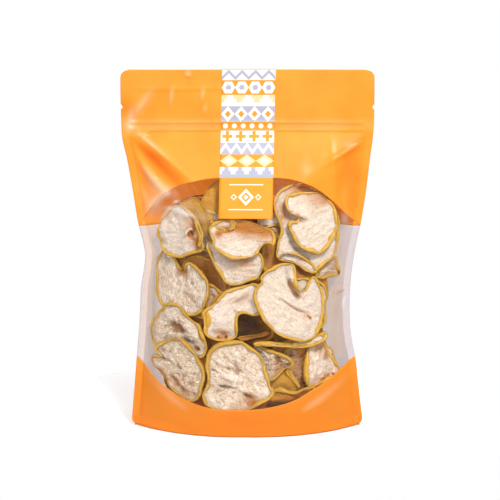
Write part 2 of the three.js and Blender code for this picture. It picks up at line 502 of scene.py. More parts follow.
# The slight unevenness of stretched film, used by every film and the label
def makeFilmRipple():
    group = bpy.data.node_groups.new("filmRipple", "ShaderNodeTree")
    group.interface.new_socket("Scale", in_out="INPUT", socket_type="NodeSocketFloat")
    group.interface.new_socket("Height", in_out="OUTPUT", socket_type="NodeSocketFloat")
    group.interface.new_socket("Haze", in_out="OUTPUT", socket_type="NodeSocketFloat")
    start = group.nodes.new("NodeGroupInput")
    end = group.nodes.new("NodeGroupOutput")
    place = objectPlace(group)
    broad = noiseShare(group, place, start.outputs["Scale"], 3.0, 0.45)
    fine = noiseShare(group, place, 900.0, 2.0)
    group.links.new(calc(group, "MULTIPLY_ADD", fine, 0.06, broad), end.inputs["Height"])
    group.links.new(broad, end.inputs["Haze"])
    return group


filmRipple = makeFilmRipple()


def bumpOf(tree, height, strength, distance):
    bump = add(tree, "ShaderNodeBump", {"Height": height, "Strength": strength, "Distance": distance})
    return bump.outputs["Normal"]


def rippleOf(tree, scale):
    group = tree.nodes.new("ShaderNodeGroup")
    group.node_tree = filmRipple
    group.inputs["Scale"].default_value = scale
    return group.outputs


# printed film: it reflects most of the light and lets some through
printFilm = {
    "orange": linear(248, 150, 34),
    "light": linear(250, 160, 44),
    # painted shade: the print is darker towards the foot
    "foot": linear(220, 126, 20),
    "footShadeTop": 0.16,  # metres above the table
    "glow": linear(255, 158, 48),
    # the colours of the painted highlights and painted shade along the folds
    "paintedHighlight": linear(255, 226, 190),
    "deep": linear(250, 112, 10),
    "through": 0.26,
    "rough": 0.55,
    "ior": 1.5,
    "shine": 0.3,
    "coat": 0.1,
    "coatRough": 0.16,
    "ripple": 48.0,
    "bump": (0.5, 0.0016),
}


# how much painted highlight and painted shade the film has
def paintedLightOf(tree):
    painted_light = add(tree, "ShaderNodeAttribute", attribute_name="painted_light")
    parts = add(tree, "ShaderNodeSeparateColor", {"Color": painted_light.outputs["Color"]})
    return parts.outputs[0], parts.outputs[1]


# the print is painted darker towards the foot, as shade where the film turns down, and takes painted shade
# and painted highlights along its folds
def printColour(tree, haze):
    shade = ramp(tree, haze, [(0.35, printFilm["orange"]), (0.65, printFilm["light"])])
    parts = add(tree, "ShaderNodeSeparateXYZ", {"Vector": objectPlace(tree)})
    low = add(tree, "ShaderNodeMapRange", {"Value": parts.outputs["Z"], "From Min": printFilm["footShadeTop"],
                                           "From Max": 0.0, "To Min": 0.0, "To Max": 1.0})
    shade = mixColour(tree, low.outputs["Result"], shade, printFilm["foot"])
    white, dark = paintedLightOf(tree)
    shade = mixColour(tree, dark, shade, printFilm["deep"])
    return mixColour(tree, white, shade, printFilm["paintedHighlight"])


def makePrintMaterial():
    material, tree = nodesOf("film_print")
    ripple = rippleOf(tree, printFilm["ripple"])
    body = add(tree, "ShaderNodeBsdfPrincipled", {
        "Base Color": printColour(tree, ripple["Haze"]), "Roughness": printFilm["rough"],
        "IOR": printFilm["ior"], "Specular IOR Level": printFilm["shine"],
        "Coat Weight": printFilm["coat"], "Coat Roughness": printFilm["coatRough"],
        "Normal": bumpOf(tree, ripple["Height"], *printFilm["bump"]),
    })
    glow = add(tree, "ShaderNodeBsdfTranslucent", {"Color": printFilm["glow"]})
    film = blendShaders(tree, printFilm["through"], body.outputs[0], glow.outputs[0])
    # light that is already inside the film leaves it unhindered
    inner = add(tree, "ShaderNodeBsdfTransparent", {"Color": grey(1.0)})
    sides = tree.nodes.new("ShaderNodeNewGeometry")
    output(tree, blendShaders(tree, sides.outputs["Backfacing"], film, inner.outputs[0]))
    return material


# Clear film: the front is nearly invisible from straight in front and milky where it is seen along its
# surface, and the back is milky beside the fruit
clearFilm = {"ripple": 70.0, "bump": (0.3, 0.0012), "ior": 1.42, "paintedLightMilk": 0.6}
frontFilm = {
    "clear": linear(252, 250, 249),
    "cloudFruitReflection": linear(226, 196, 160),
    "cloudOut": linear(198, 190, 194),
    # the colours of the painted highlights and painted shade along the folds
    "white": linear(232, 228, 232),
    "shade": linear(168, 134, 100),
    "milky": [(0.25, grey(0.002)), (0.55, grey(0.05)), (0.92, grey(0.5))],
    "overFruit": 1.0,
    "gloss": 0.35,
    "rough": 0.16,
}
backFilm = {
    "clear": linear(246, 244, 246),
    "cloudFruitReflection": linear(226, 194, 158),
    "cloudOut": linear(200, 188, 190),
    # the colours of the painted highlights and painted shade along the folds
    "white": linear(210, 204, 208),
    "shade": linear(168, 134, 100),
    "milky": [(0.0, grey(0.5)), (0.6, grey(0.54)), (1.0, grey(0.7))],
    "overFruit": 0.2,
    "gloss": 0.4,
    "rough": 0.24,
}
# The haze is painted warm beside the fruit, as the fruit's reflection, and turns light grey near the bag's
# edges, in metres from the middle
hazeTurn = {
    "from": 0.067,
    "to": 0.076,
    "middle": -0.0035,
    "fruitFrom": 0.052,
    "fruitTo": 0.066,
    "streaks": 0.014,
    "streakScale": 110.0,
    "streakStretch": (1.0, 1.0, 0.16),
}


# rises from low over the fruit to 1 near the edges, with soft upright streaks
def edgeShare(tree, nearest, farthest, low=0.0):
    place = objectPlace(tree)
    parts = add(tree, "ShaderNodeSeparateXYZ", {"Vector": place})
    away = calc(tree, "ABSOLUTE", calc(tree, "SUBTRACT", parts.outputs["X"], hazeTurn["middle"]))
    upright = stretched(tree, place, hazeTurn["streakStretch"])
    streaks = noiseShare(tree, upright, hazeTurn["streakScale"], 2.0)
    moved = calc(tree, "MULTIPLY_ADD", streaks, hazeTurn["streaks"], away)
    half = hazeTurn["streaks"] / 2
    share = add(tree, "ShaderNodeMapRange", {"Value": moved, "From Min": nearest + half,
                                             "From Max": farthest + half, "To Min": low})
    return share.outputs["Result"]


def makeClearMaterial(name, look):
    material, tree = nodesOf(name)
    normal = bumpOf(tree, rippleOf(tree, clearFilm["ripple"])["Height"], *clearFilm["bump"])
    white, dark = paintedLightOf(tree)
    # beside the fruit the haze is painted with the fruit's warm reflection
    outward = edgeShare(tree, hazeTurn["from"], hazeTurn["to"])
    haze = mixColour(tree, outward, look["cloudFruitReflection"], look["cloudOut"])
    # the haze takes the painted shade and painted highlights along the folds
    haze = mixColour(tree, dark, haze, look["shade"])
    haze = mixColour(tree, white, haze, look["white"])
    through = add(tree, "ShaderNodeBsdfTransparent", {"Color": look["clear"]})
    cloud = add(tree, "ShaderNodeBsdfDiffuse", {"Color": haze, "Normal": normal})
    gloss = add(tree, "ShaderNodeBsdfGlossy", {"Color": grey(1.0), "Roughness": look["rough"],
                                               "Normal": normal})
    # haze and shine are on the outer face alone, and the painted highlights and painted shade along the
    # folds make it milkier
    sides = tree.nodes.new("ShaderNodeNewGeometry")
    outer = calc(tree, "SUBTRACT", 1.0, sides.outputs["Backfacing"])
    slant = add(tree, "ShaderNodeLayerWeight", {"Blend": 0.5})
    milky = ramp(tree, slant.outputs["Facing"], look["milky"])
    paintedAmount = calc(tree, "ADD", white, dark)
    milky = calc(tree, "MULTIPLY_ADD", paintedAmount, clearFilm["paintedLightMilk"], milky, clamped=True)
    aside = edgeShare(tree, hazeTurn["fruitFrom"], hazeTurn["fruitTo"], look["overFruit"])
    milky = calc(tree, "MULTIPLY", calc(tree, "MULTIPLY", milky, aside), outer)
    edge = add(tree, "ShaderNodeFresnel", {"IOR": clearFilm["ior"], "Normal": normal})
    shine = calc(tree, "MULTIPLY", calc(tree, "MULTIPLY", edge.outputs[0], outer), look["gloss"])
    hazy = blendShaders(tree, milky, through.outputs[0], cloud.outputs[0])
    output(tree, blendShaders(tree, shine, hazy, gloss.outputs[0]))
    return material


printMaterial = makePrintMaterial()
clearMaterial = makeClearMaterial("film_clear", frontFilm)
milkyMaterial = makeClearMaterial("film_milky", backFilm)

# Bands of film: side, lower and upper line, columns, rows, material and slot
topLine = level(bag["height"])
footLine = level(0.0)
backLine = level(backPrintFoot)
backArc = arc(windowFoot, backFootDrop)
panels = [
    ("front_print_top", -1, arc(windowTop), topLine, 180, 96, printMaterial, "film_print"),
    ("front_window", -1, arc(windowFoot), arc(windowTop), 180, 140, clearMaterial, "film_clear"),
    ("front_print_foot", -1, footLine, arc(windowFoot), 180, 30, printMaterial, "film_print"),
    ("back_print_top", 1, backLine, topLine, 110, 66, printMaterial, "film_print"),
    ("back_window", 1, backArc, backLine, 110, 80, milkyMaterial, "film_clear"),
    ("back_print_foot", 1, footLine, backArc, 110, 26, printMaterial, "film_print"),
]
for name, side, foot, top, columns, rows, material, slot in panels:
    panel = finished(name, filmBand(side, foot, top, columns, rows), material, slot)
    thicken(panel, bag["film"])
    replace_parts(panel, "pouch")
print("film panels made")


# The gusset: a film sealed inside the two panels' feet, with a floor that hangs between them
gusset = {
    "seal": 7.0,
    "sealShare": 0.25,
    "gap": 0.2,
    "thinnest": 0.06,
    "lift": 0.15,
    "floor": 0.7,
    "droop": (0.5, 16.0),
    "ripple": 0.25,
    "rippleLength": 12.0,
    "endHeight": 3.0,
    "endInset": 1.5,
    "columns": 70,
    "rows": 40,
}


def gussetPoint(across, through):
    x = across * (cutHalfWidth(across, gusset["endHeight"]) - gusset["endInset"])
    side = -1 if through < 0 else 1
    hanging = 1 - gusset["sealShare"]
    spread = abs(through)
    inset = bag["film"] + gusset["gap"]

    def insideFilm(z):
        return max(gusset["thinnest"], abs(filmY(x, z, side)) - inset)

    if spread > hanging:
        z = gusset["seal"] * (1 - (spread - hanging) / gusset["sealShare"]) + gusset["lift"]
        return x, side * insideFilm(z), z
    front = insideFilm(gusset["seal"])
    t = spread / hanging
    y = side * front * t
    droop = (1 - t ** 3) * smoothStep(*gusset["droop"], front)
    z = mix(gusset["seal"] + gusset["lift"], gusset["floor"], droop)
    length = gusset["rippleLength"]
    return x, y, z + gusset["ripple"] * noise.noise(Vector((x / length, y / length, 3.0))) * droop


def makeGusset():
    bm = sheetGrid(gusset["columns"], gusset["rows"])
    for vert in bm.verts:
        vert.co = gussetPoint(vert.co.x, vert.co.y)
    bmesh.ops.reverse_faces(bm, faces=bm.faces)
    piece = finished("gusset", bm, printMaterial, "film_print")
    thicken(piece, bag["film"])
    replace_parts(piece, "pouch")


makeGusset()
print("gusset made")


# The label: a sticker down the front, over the top edge and a little way down the back
label = {
    "width": 38.0,
    "foot": 157.6,
    "backFoot": 222.0,
    "centre": 1.1,
    "lean": 0.0245,
    "lift": 0.03,
    "thick": 0.12,
    "inkStep": 0.035,
    "inkThick": 0.0315,
    "rough": 0.55,
    "inkRough": 0.5,
    "ior": 1.4,
    "shine": 0.3,
    "ripple": 45.0,
    "bump": (0.2, 0.0006),
    "columns": 20,
    "rows": 150,
}
labelInks = {
    "white": linear(232, 214, 206),
    "silver": linear(158, 160, 176),
    "peach": linear(236, 190, 142),
    "orange": linear(240, 140, 30),
}


# run counts up the front to 0 at the top edge, then down the back
def labelPoint(across, run, lift):
    radius = bag["sealHalf"] + lift
    turn = math.pi * radius
    if run <= 0:
        z = bag["height"] + run
        x = label["centre"] + label["lean"] * run + across
        return x, filmY(x, z, -1) - lift, z
    if run >= turn:
        z = bag["height"] - (run - turn)
        x = label["centre"] + label["lean"] * (run - turn) + across
        return x, filmY(x, z, 1) + lift, z
    x = label["centre"] + across
    angle = run / radius
    return x, topWave(x, bag["height"]) - radius * math.cos(angle), bag["height"] + radius * math.sin(angle)


def makeLabelMaterial(name, colour, rough):
    material, tree = nodesOf(name)
    height = rippleOf(tree, label["ripple"])["Height"]
    shader = add(tree, "ShaderNodeBsdfPrincipled", {
        "Base Color": colour, "Roughness": rough, "IOR": label["ior"],
        "Specular IOR Level": label["shine"], "Normal": bumpOf(tree, height, *label["bump"]),
    })
    output(tree, shader.outputs[0])
    return material


def makeLabel():
    bm = sheetGrid(label["columns"], label["rows"])
    start = label["foot"] - bag["height"]
    end = bag["height"] - label["backFoot"]
    for vert in bm.verts:
        run = mix(start, end, (vert.co.y + 1) / 2)
        vert.co = labelPoint(vert.co.x * label["width"] / 2, run, label["lift"] + label["thick"])
    material = makeLabelMaterial("label_sticker", labelInks["orange"], label["rough"])
    piece = finished("label_strip", bm, material, "label")
    thicken(piece, label["thick"])
    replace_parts(piece, "label")


makeLabel()

# The printed motifs are thin inlays, gathered by colour: each is a flat outline of (across, run) points.
# They lie over each other in layers: the band's ground, the motif, its inside and the kernel
inkShapes = {ink: [] for ink in labelInks}
groundLayer = 1
motifLayer = 2
insideLayer = 3
kernelLayer = 4


def polygon(ink, layer, points):
    inkShapes[ink].append((layer, points))


def regular(ink, layer, across, run, radius, sides):
    angles = [2 * math.pi * i / sides for i in range(sides)]
    polygon(ink, layer, [(across + radius * math.cos(angle), run + radius * math.sin(angle))
                         for angle in angles])


def bar(ink, layer, left, right, foot, top):
    polygon(ink, layer, [(left, foot), (right, foot), (right, top), (left, top)])


# Sizes of the motifs as shares of the band's height, and of the inside lozenge as a share of the outer
motif = {
    "zigzag": 0.36,
    "insideLozenge": 0.45,
    "hexagon": 0.46,
    "insideHexagon": 0.2,
    "crossArm": 0.42,
    "crossHalf": 0.13,
    "steps": 3,
    "dot": 0.3,
    "dotSides": 28,
}


# the left side, the middle and the width of each motif of a band. All bands take the same inputs
def cells(count):
    pitch = label["width"] / count
    start = -label["width"] / 2
    return [(start + i * pitch, start + (i + 0.5) * pitch, pitch) for i in range(count)]


def zigzagBand(top, high, ink, inner, count):
    thickness = high * motif["zigzag"]
    foot = top - high
    for left, middle, pitch in cells(count):
        right = left + pitch
        polygon(ink, motifLayer, [(left, foot), (middle, top - thickness), (right, foot),
                                  (right, foot + thickness), (middle, top), (left, foot + thickness)])


def lozengeBand(top, high, ink, inner, count):
    line = top - high / 2
    for left, middle, pitch in cells(count):
        for layer, colour, share in ((motifLayer, ink, 1.0), (insideLayer, inner, motif["insideLozenge"])):
            half = pitch / 2 * share
            rise = high / 2 * share
            polygon(colour, layer, [(middle - half, line), (middle, line - rise), (middle + half, line),
                                    (middle, line + rise)])


def hexagonBand(top, high, ink, inner, count):
    line = top - high / 2
    for left, middle, pitch in cells(count):
        regular(ink, motifLayer, middle, line, high * motif["hexagon"], 6)
        regular(inner, insideLayer, middle, line, high * motif["insideHexagon"], 6)


def crossBand(top, high, ink, inner, count):
    arm = high * motif["crossArm"]
    half = high * motif["crossHalf"]
    line = top - high / 2
    for left, middle, pitch in cells(count):
        bar(ink, motifLayer, middle - arm, middle + arm, line - half, line + half)
        bar(ink, motifLayer, middle - half, middle + half, line + half, line + arm)
        bar(ink, motifLayer, middle - half, middle + half, line - arm, line - half)


def stepBand(top, high, ink, inner, count):
    steps = motif["steps"]
    for left, middle, pitch in cells(count):
        for step in range(steps):
            inset = pitch / 2 * step / steps
            foot = top - high + high * step / steps
            bar(ink, motifLayer, left + inset, left + pitch - inset, foot, foot + high / steps)


def dotBand(top, high, ink, inner, count):
    for left, middle, pitch in cells(count):
        regular(ink, motifLayer, middle, top - high / 2, high * motif["dot"], motif["dotSides"])


# Bands from the top edge down: motif, height, ground, ink, inner ink and count
bands = [
    (zigzagBand, 7.5, "white", "silver", None, 4),
    (hexagonBand, 10.5, None, "white", "silver", 4),
    (stepBand, 8.0, "peach", "white", None, 3),
    (lozengeBand, 11.0, "silver", "white", "orange", 4),
    (dotBand, 6.0, None, "white", None, 6),
    (crossBand, 8.5, "white", "orange", None, 4),
    (zigzagBand, 8.0, "silver", "white", None, 5),
    (lozengeBand, 8.5, None, "peach", "white", 3),
    (stepBand, 7.0, "white", "silver", None, 4),
]


def drawBands(top, chosen):
    half = label["width"] / 2
    for drawBand, high, ground, ink, inner, count in chosen:
        if ground:
            bar(ground, groundLayer, -half, half, top - high, top)
        drawBand(top, high, ink, inner, count)
        top -= high


drawBands(0.0, bands)
drawBands(bag["height"] - label["backFoot"], bands[:4])

# A plain ornament in the field below the pattern: lozenges between two rules
ornament = {
    "middle": -88.0,
    "reach": 12.0,
    "rules": (-8.6, 7.9),
    "ruleThick": 0.7,
    "lozenges": [(-8.6, 2.2), (0.0, 5.6), (8.6, 2.2)],
    "insideShare": 0.6,
    "kernel": 1.7,
}
for offset in ornament["rules"]:
    foot = ornament["middle"] + offset
    bar("white", motifLayer, -ornament["reach"], ornament["reach"], foot, foot + ornament["ruleThick"])
for across, radius in ornament["lozenges"]:
    regular("white", motifLayer, across, ornament["middle"], radius, 4)
    regular("orange", insideLayer, across, ornament["middle"], radius * ornament["insideShare"], 4)
regular("white", kernelLayer, 0.0, ornament["middle"], ornament["kernel"], 4)

# Cuts, a little off the motifs' own edges, let the ink follow the zip's ridges and the wave of the top. Each
# is a place of the cut and its direction
inkCuts = [((0, run + 0.37, 0), (0, 1, 0)) for run in range(-100, 40, 2)]
inkCuts += [((across + 0.11, 0, 0), (1, 0, 0)) for across in range(-16, 17, 4)]


def makeInk(ink):
    bm = bmesh.new()
    layerOf = bm.faces.layers.int.new("layer")
    for layer, points in inkShapes[ink]:
        face = bm.faces.new([bm.verts.new((across, run, 0.0)) for across, run in points])
        face[layerOf] = layer
    bm.normal_update()
    bmesh.ops.reverse_faces(bm, faces=[face for face in bm.faces if face.normal.z < 0])
    for place, normal in inkCuts:
        geometry = bm.verts[:] + bm.edges[:] + bm.faces[:]
        bmesh.ops.bisect_plane(bm, geom=geometry, plane_co=place, plane_no=normal, dist=1e-4)
    for vert in bm.verts:
        lift = label["lift"] + label["thick"] + label["inkStep"] * vert.link_faces[0][layerOf]
        vert.co = labelPoint(vert.co.x, vert.co.y, lift)
    material = makeLabelMaterial("ink_" + ink, labelInks[ink], label["inkRough"])
    piece = finished("label_" + ink, bm, material, "label", smooth=False)
    thicken(piece, label["inkThick"])


for ink in labelInks:
    makeInk(ink)
print("label made")


# Dried pear: ivory wrinkled flesh inside a yellow peel rim. "tone" holds rim, stain and painted shade,
# dryness, and relief, which paints highlight and shade; "fibre" holds the place on the slice along and
# across its fibres, in millimetres
pearLook = {
    "flesh": linear(228, 221, 212),
    "fleshWarm": linear(224, 212, 194),
    "fleshDry": linear(224, 204, 174),
    "ridge": linear(255, 250, 240),
    "fibre": linear(226, 186, 134),
    "creaseShade": linear(166, 124, 80),
    "hollowShade": linear(134, 94, 58),
    "stainAndShade": linear(184, 120, 46),
    "dark": linear(64, 38, 18),
    "peelHighlight": linear(226, 188, 86),
    "peel": linear(192, 144, 40),
    "peelShade": linear(130, 84, 18),
    "peelSpot": linear(124, 76, 22),
    "rough": 0.72,
    "ior": 1.4,
    "bump": (1.0, 0.0019),
    "soft": 0.12,
    "softReach": (1.0, 0.55, 0.25),
    "softScale": 0.002,
    "threadHeight": 0.12,  # of fresh flesh, and what dry flesh adds
    "dryThreadHeight": 0.8,
    "streakHeight": 0.12,
}
# Its noises: stretch, scale, detail, roughness and distortion
pearNoise = {
    "streaks": ((0.14, 1.0, 1.0), 1.1, 4.0, 0.6, 0.6),
    "mottle": ((1.0, 1.0, 1.0), 0.12, 3.0, 0.5, 0.0),
    "crinkle": ((0.4, 1.0, 1.0), 0.55, 3.0, 0.6, 2.6),
}


# a mask that follows a value through stops of (value, amount)
def masked(tree, value, *stops):
    return ramp(tree, value, [(place, grey(amount)) for place, amount in stops])


# a colour laid over the base where the mask, or the mask times a share, lets it
def tinted(tree, base, colour, mask, share=None):
    if share is not None:
        mask = mixColour(tree, 1.0, mask, share, "MULTIPLY")
    return mixColour(tree, mask, base, pearLook[colour])


def makePearMaterial():
    material, tree = nodesOf("dried_pear")
    tone = add(tree, "ShaderNodeAttribute", attribute_name="tone")
    parts = add(tree, "ShaderNodeSeparateColor", {"Color": tone.outputs["Color"]})
    rim, stainAndShade, dry = (parts.outputs[i] for i in range(3))
    relief = tone.outputs["Alpha"]
    place = add(tree, "ShaderNodeAttribute", attribute_name="fibre").outputs["Vector"]
    streaks, mottle, crinkle = (noiseShare(tree, stretched(tree, place, stretch), *settings)
                                for stretch, *settings in pearNoise.values())
    # shrunken flesh lies in short crossing threads with painted highlights on their tops, fresh flesh shows
    # its fibre
    shrunk = masked(tree, dry, (0.1, 0.28), (0.6, 0.8), (1.0, 1.0))
    fresh = masked(tree, dry, (0.1, 1.0), (0.9, 0.3))
    base = mixColour(tree, mottle, pearLook["flesh"], pearLook["fleshWarm"])
    base = tinted(tree, base, "fleshDry", masked(tree, dry, (0.2, 0.0), (0.9, 0.9)))
    base = tinted(tree, base, "ridge", masked(tree, crinkle, (0.5, 0.0), (0.64, 0.85)), shrunk)
    base = tinted(tree, base, "fibre", masked(tree, streaks, (0.52, 0.0), (0.7, 0.5)), fresh)
    # painted shade in the folds between the threads and in the hollows, and painted highlights where the
    # flesh rises
    base = tinted(tree, base, "creaseShade", masked(tree, crinkle, (0.36, 0.8), (0.49, 0.0)), shrunk)
    base = tinted(tree, base, "ridge", masked(tree, relief, (0.62, 0.0), (1.0, 0.6)))
    base = tinted(tree, base, "hollowShade", masked(tree, relief, (0.0, 0.92), (0.42, 0.0)))
    # stains, and painted shade where slices stand for the shade in gaps and under the print and label
    base = tinted(tree, base, "stainAndShade", masked(tree, stainAndShade, (0.0, 0.0), (0.55, 1.0)))
    base = tinted(tree, base, "dark", masked(tree, stainAndShade, (0.6, 0.0), (1.0, 1.0)))
    # on the rim the relief says how far a place faces up: the peel is painted lighter there and darker on
    # its sides and underside, as painted highlight and shade, with uneven tone mixed in
    uneven = mixColour(tree, 0.3, mixColour(tree, 0.35, relief, crinkle), mottle)
    peel = ramp(tree, uneven, [(0.3, pearLook["peelShade"]), (0.56, pearLook["peel"]),
                               (0.82, pearLook["peelHighlight"])])
    peel = tinted(tree, peel, "peelSpot", masked(tree, crinkle, (0.6, 0.0), (0.74, 0.6)))
    peel = tinted(tree, peel, "stainAndShade", masked(tree, stainAndShade, (0.2, 0.0), (0.7, 0.85)))
    peel = tinted(tree, peel, "dark", masked(tree, stainAndShade, (0.7, 0.0), (1.0, 0.9)))
    # flesh and peel meet in a ragged line
    ragged = mixColour(tree, 0.36, rim, crinkle)
    colour = mixColour(tree, masked(tree, ragged, (0.34, 0.0), (0.58, 1.0)), base, peel)
    rise = calc(tree, "MULTIPLY_ADD", dry, pearLook["dryThreadHeight"], pearLook["threadHeight"])
    threads = calc(tree, "MULTIPLY", crinkle, rise)
    height = calc(tree, "MULTIPLY_ADD", streaks, pearLook["streakHeight"], threads)
    shader = add(tree, "ShaderNodeBsdfPrincipled", {
        "Base Color": colour, "Roughness": pearLook["rough"], "IOR": pearLook["ior"],
        "Normal": bumpOf(tree, height, *pearLook["bump"]), "Subsurface Weight": pearLook["soft"],
        "Subsurface Radius": pearLook["softReach"], "Subsurface Scale": pearLook["softScale"],
    })
    output(tree, shader.outputs[0])
    return material


pearMaterial = makePearMaterial()


# an even, closed curve of count points through the given ones
def closedCurve(points, count):
    fine = []
    total = len(points)
    steps = 12
    for i in range(total):
        a, b, c, d = (Vector(points[(i + k) % total]) for k in (-1, 0, 1, 2))
        for step in range(steps):
            t = step / steps
            fine.append(0.5 * (2 * b + (c - a) * t + (2 * a - 5 * b + 4 * c - d) * t * t
                               + (3 * b - a - 3 * c + d) * t ** 3))
    lengths = [0.0]
    for i in range(len(fine)):
        lengths.append(lengths[-1] + (fine[(i + 1) % len(fine)] - fine[i]).length)
    even = []
    j = 0
    for i in range(count):
        want = lengths[-1] * i / count
        while lengths[j + 1] < want:
            j += 1
        t = (want - lengths[j]) / max(1e-9, lengths[j + 1] - lengths[j])
        even.append(fine[j].lerp(fine[(j + 1) % len(fine)], t))
    return even


def area(points):
    return 0.5 * sum(a.x * b.y - b.x * a.y for a, b in zip(points, points[1:] + points[:1]))


def perimeter(points):
    return sum((b - a).length for a, b in zip(points, points[1:] + points[:1]))


def smoothed(points, passes):
    for _ in range(passes):
        points = [(before + point * 2 + after) / 4
                  for before, point, after in zip(points[-1:] + points, points, points[1:] + points[:1])]
    return points


def insetCurve(points, distance):
    turn = 1 if area(points) > 0 else -1
    total = len(points)
    moved = []
    for i in range(total):
        run = points[(i + 2) % total] - points[i - 2]
        inward = Vector((-run.y, run.x)).normalized() * turn
        moved.append(points[i] + inward * distance)
    return smoothed(moved, int(round(distance * 2)))


# How finely a slice is ringed: the rings of its two faces, and the turns round the bead of its rim
fineRings = {"top": 20, "under": 8, "bead": (162, 138, 114, 90, 66, 42, 18, -12, -50, -90, -120, -150)}
plainRings = {"top": 9, "under": 4, "bead": (140, 95, 50, 5, -45, -95, -140)}


# from the middle of the upper face over the rim to the middle of the underside, as (kind, share of the way
# to the middle or turn round the bead, side)
def sliceRings(kind):
    rings = [("flesh", 1 - i / kind["top"], 1) for i in range(kind["top"])]
    rings += [("bead", math.radians(turn), 0) for turn in kind["bead"]]
    rings += [("flesh", (i + 1) / kind["under"], -1) for i in range(kind["under"])]
    return rings


# What a slice is unless its own settings say otherwise
plainSlice = {
    "seed": 1.0, "dry": 0.3, "fibreTurn": 0.0,
    "thick": 1.2, "cup": 0.6, "saddle": 1.2, "saddleTurn": 20.0, "wavy": 1.6, "wrinkle": 0.7,
    "bead": 1.02, "rim": 1.0, "shake": 0.34, "skin": False,
    "bumps": (), "stainsAndShade": (), "peels": (), "wides": (),
}


# What all slices share. Turns go round the bead of the rim, from 180 where it meets the flesh above. Noises
# have an amount, a size in mm and a step of their seed
sliceForm = {
    "seedStep": 17.31,  # keeps the noises of two slices apart
    "faceStep": 31.0,  # and those of a slice's two faces
    "fibreStep": 4.0,  # and the threads of the two
    "shakes": [(1.0, 3.4, 0.0), (0.5, 1.5, 0.0)],
    "rimWidth": 0.94,
    "rimNoises": [(0.8, 7.0, 5.0), (0.4, 2.2, 9.0)],
    "narrowest": 0.3,
    "taller": 1.3,  # the rim's upper half
    "fleshInset": 2.2,  # beads from the outline to the flesh
    "thickFrom": 0.6,  # share of the way to the middle
    "overFrom": 155,
    "overPeel": 0.55,
    "underFrom": -100,
    "underPeel": 0.35,
    "peelEdge": 1.15,
    "peelUp": 0.9,  # how far up peel faces where it lies over the flesh
    "peelFrom": 0.3,  # from this share of peel on, the tone's relief says how far up it faces
    "lobes": (1.6, 1.5, 1.6, 3.0),  # amount, how many, how fast they rise outwards, seed step
    "bendNoises": [(0.9, 11.0, 0.0)],
    "spokes": (1.1, 4.5, 1.4),  # amount, how many, how fast they change outwards
    "threads": (0.7, 9.0, 2.4),  # amount, length, width
    "fleshNoises": [(0.9, 4.2, 0.0), (0.5, 1.7, 0.0)],
    "wrinkleFrom": (-0.03, 0.09),
    # how strongly the flesh's relief and folds are painted as highlight and shade
    "reliefPaintedLight": 0.5,
    "foldPaintedLight": 0.24,
}


def noises(kind, a, b, seed):
    return sum(amount * noise.noise(Vector((a / size, b / size, seed + step)))
               for amount, size, step in sliceForm[kind])


# the outline, shaken a little out of true
def shaken(outline, seed, amount):
    moved = []
    for i, point in enumerate(outline):
        run = outline[(i + 1) % len(outline)] - outline[i - 1]
        shake = noises("shakes", point.x, point.y, seed) * amount
        moved.append(point + Vector((run.y, -run.x)).normalized() * shake)
    return moved


# how wide the rim is along the outline
def rimWidths(outline, seed, wides):
    widths = []
    for point in outline:
        width = sliceForm["rimWidth"] + noises("rimNoises", point.x, point.y, seed)
        for wx, wy, radius, extra in wides:
            width += extra * math.exp(-bell(point.x, point.y, (wx, wy), radius, radius, 0))
        widths.append(max(sliceForm["narrowest"], width))
    return widths


# how far the whole slice is bent up at a place, at a share of its reach and an angle
def sliceBend(spec, seed, a, b, reach, angle):
    turned = 2 * (angle - math.radians(spec["saddleTurn"]))
    bend = (spec["cup"] + spec["saddle"] * math.cos(turned)) * reach * reach
    amount, many, rise, step = sliceForm["lobes"]
    lobes = noise.noise(Vector((math.cos(angle) * many, math.sin(angle) * many, seed + step)))
    bend += spec["wavy"] * amount * reach ** rise * lobes
    return bend + noises("bendNoises", a, b, seed)


# wrinkles of the flesh: spokes, threads along the fibre, and lumps
def fleshRelief(seed, a, b, onward, across, reach, angle):
    amount, many, change = sliceForm["spokes"]
    spokes = Vector((math.cos(angle) * many, math.sin(angle) * many, reach * change + seed))
    relief = amount * reach * noise.noise(spokes)
    amount, long, wide = sliceForm["threads"]
    relief += amount * noise.noise(Vector((onward / long, across / wide, seed)))
    return relief + noises("fleshNoises", a, b, seed)


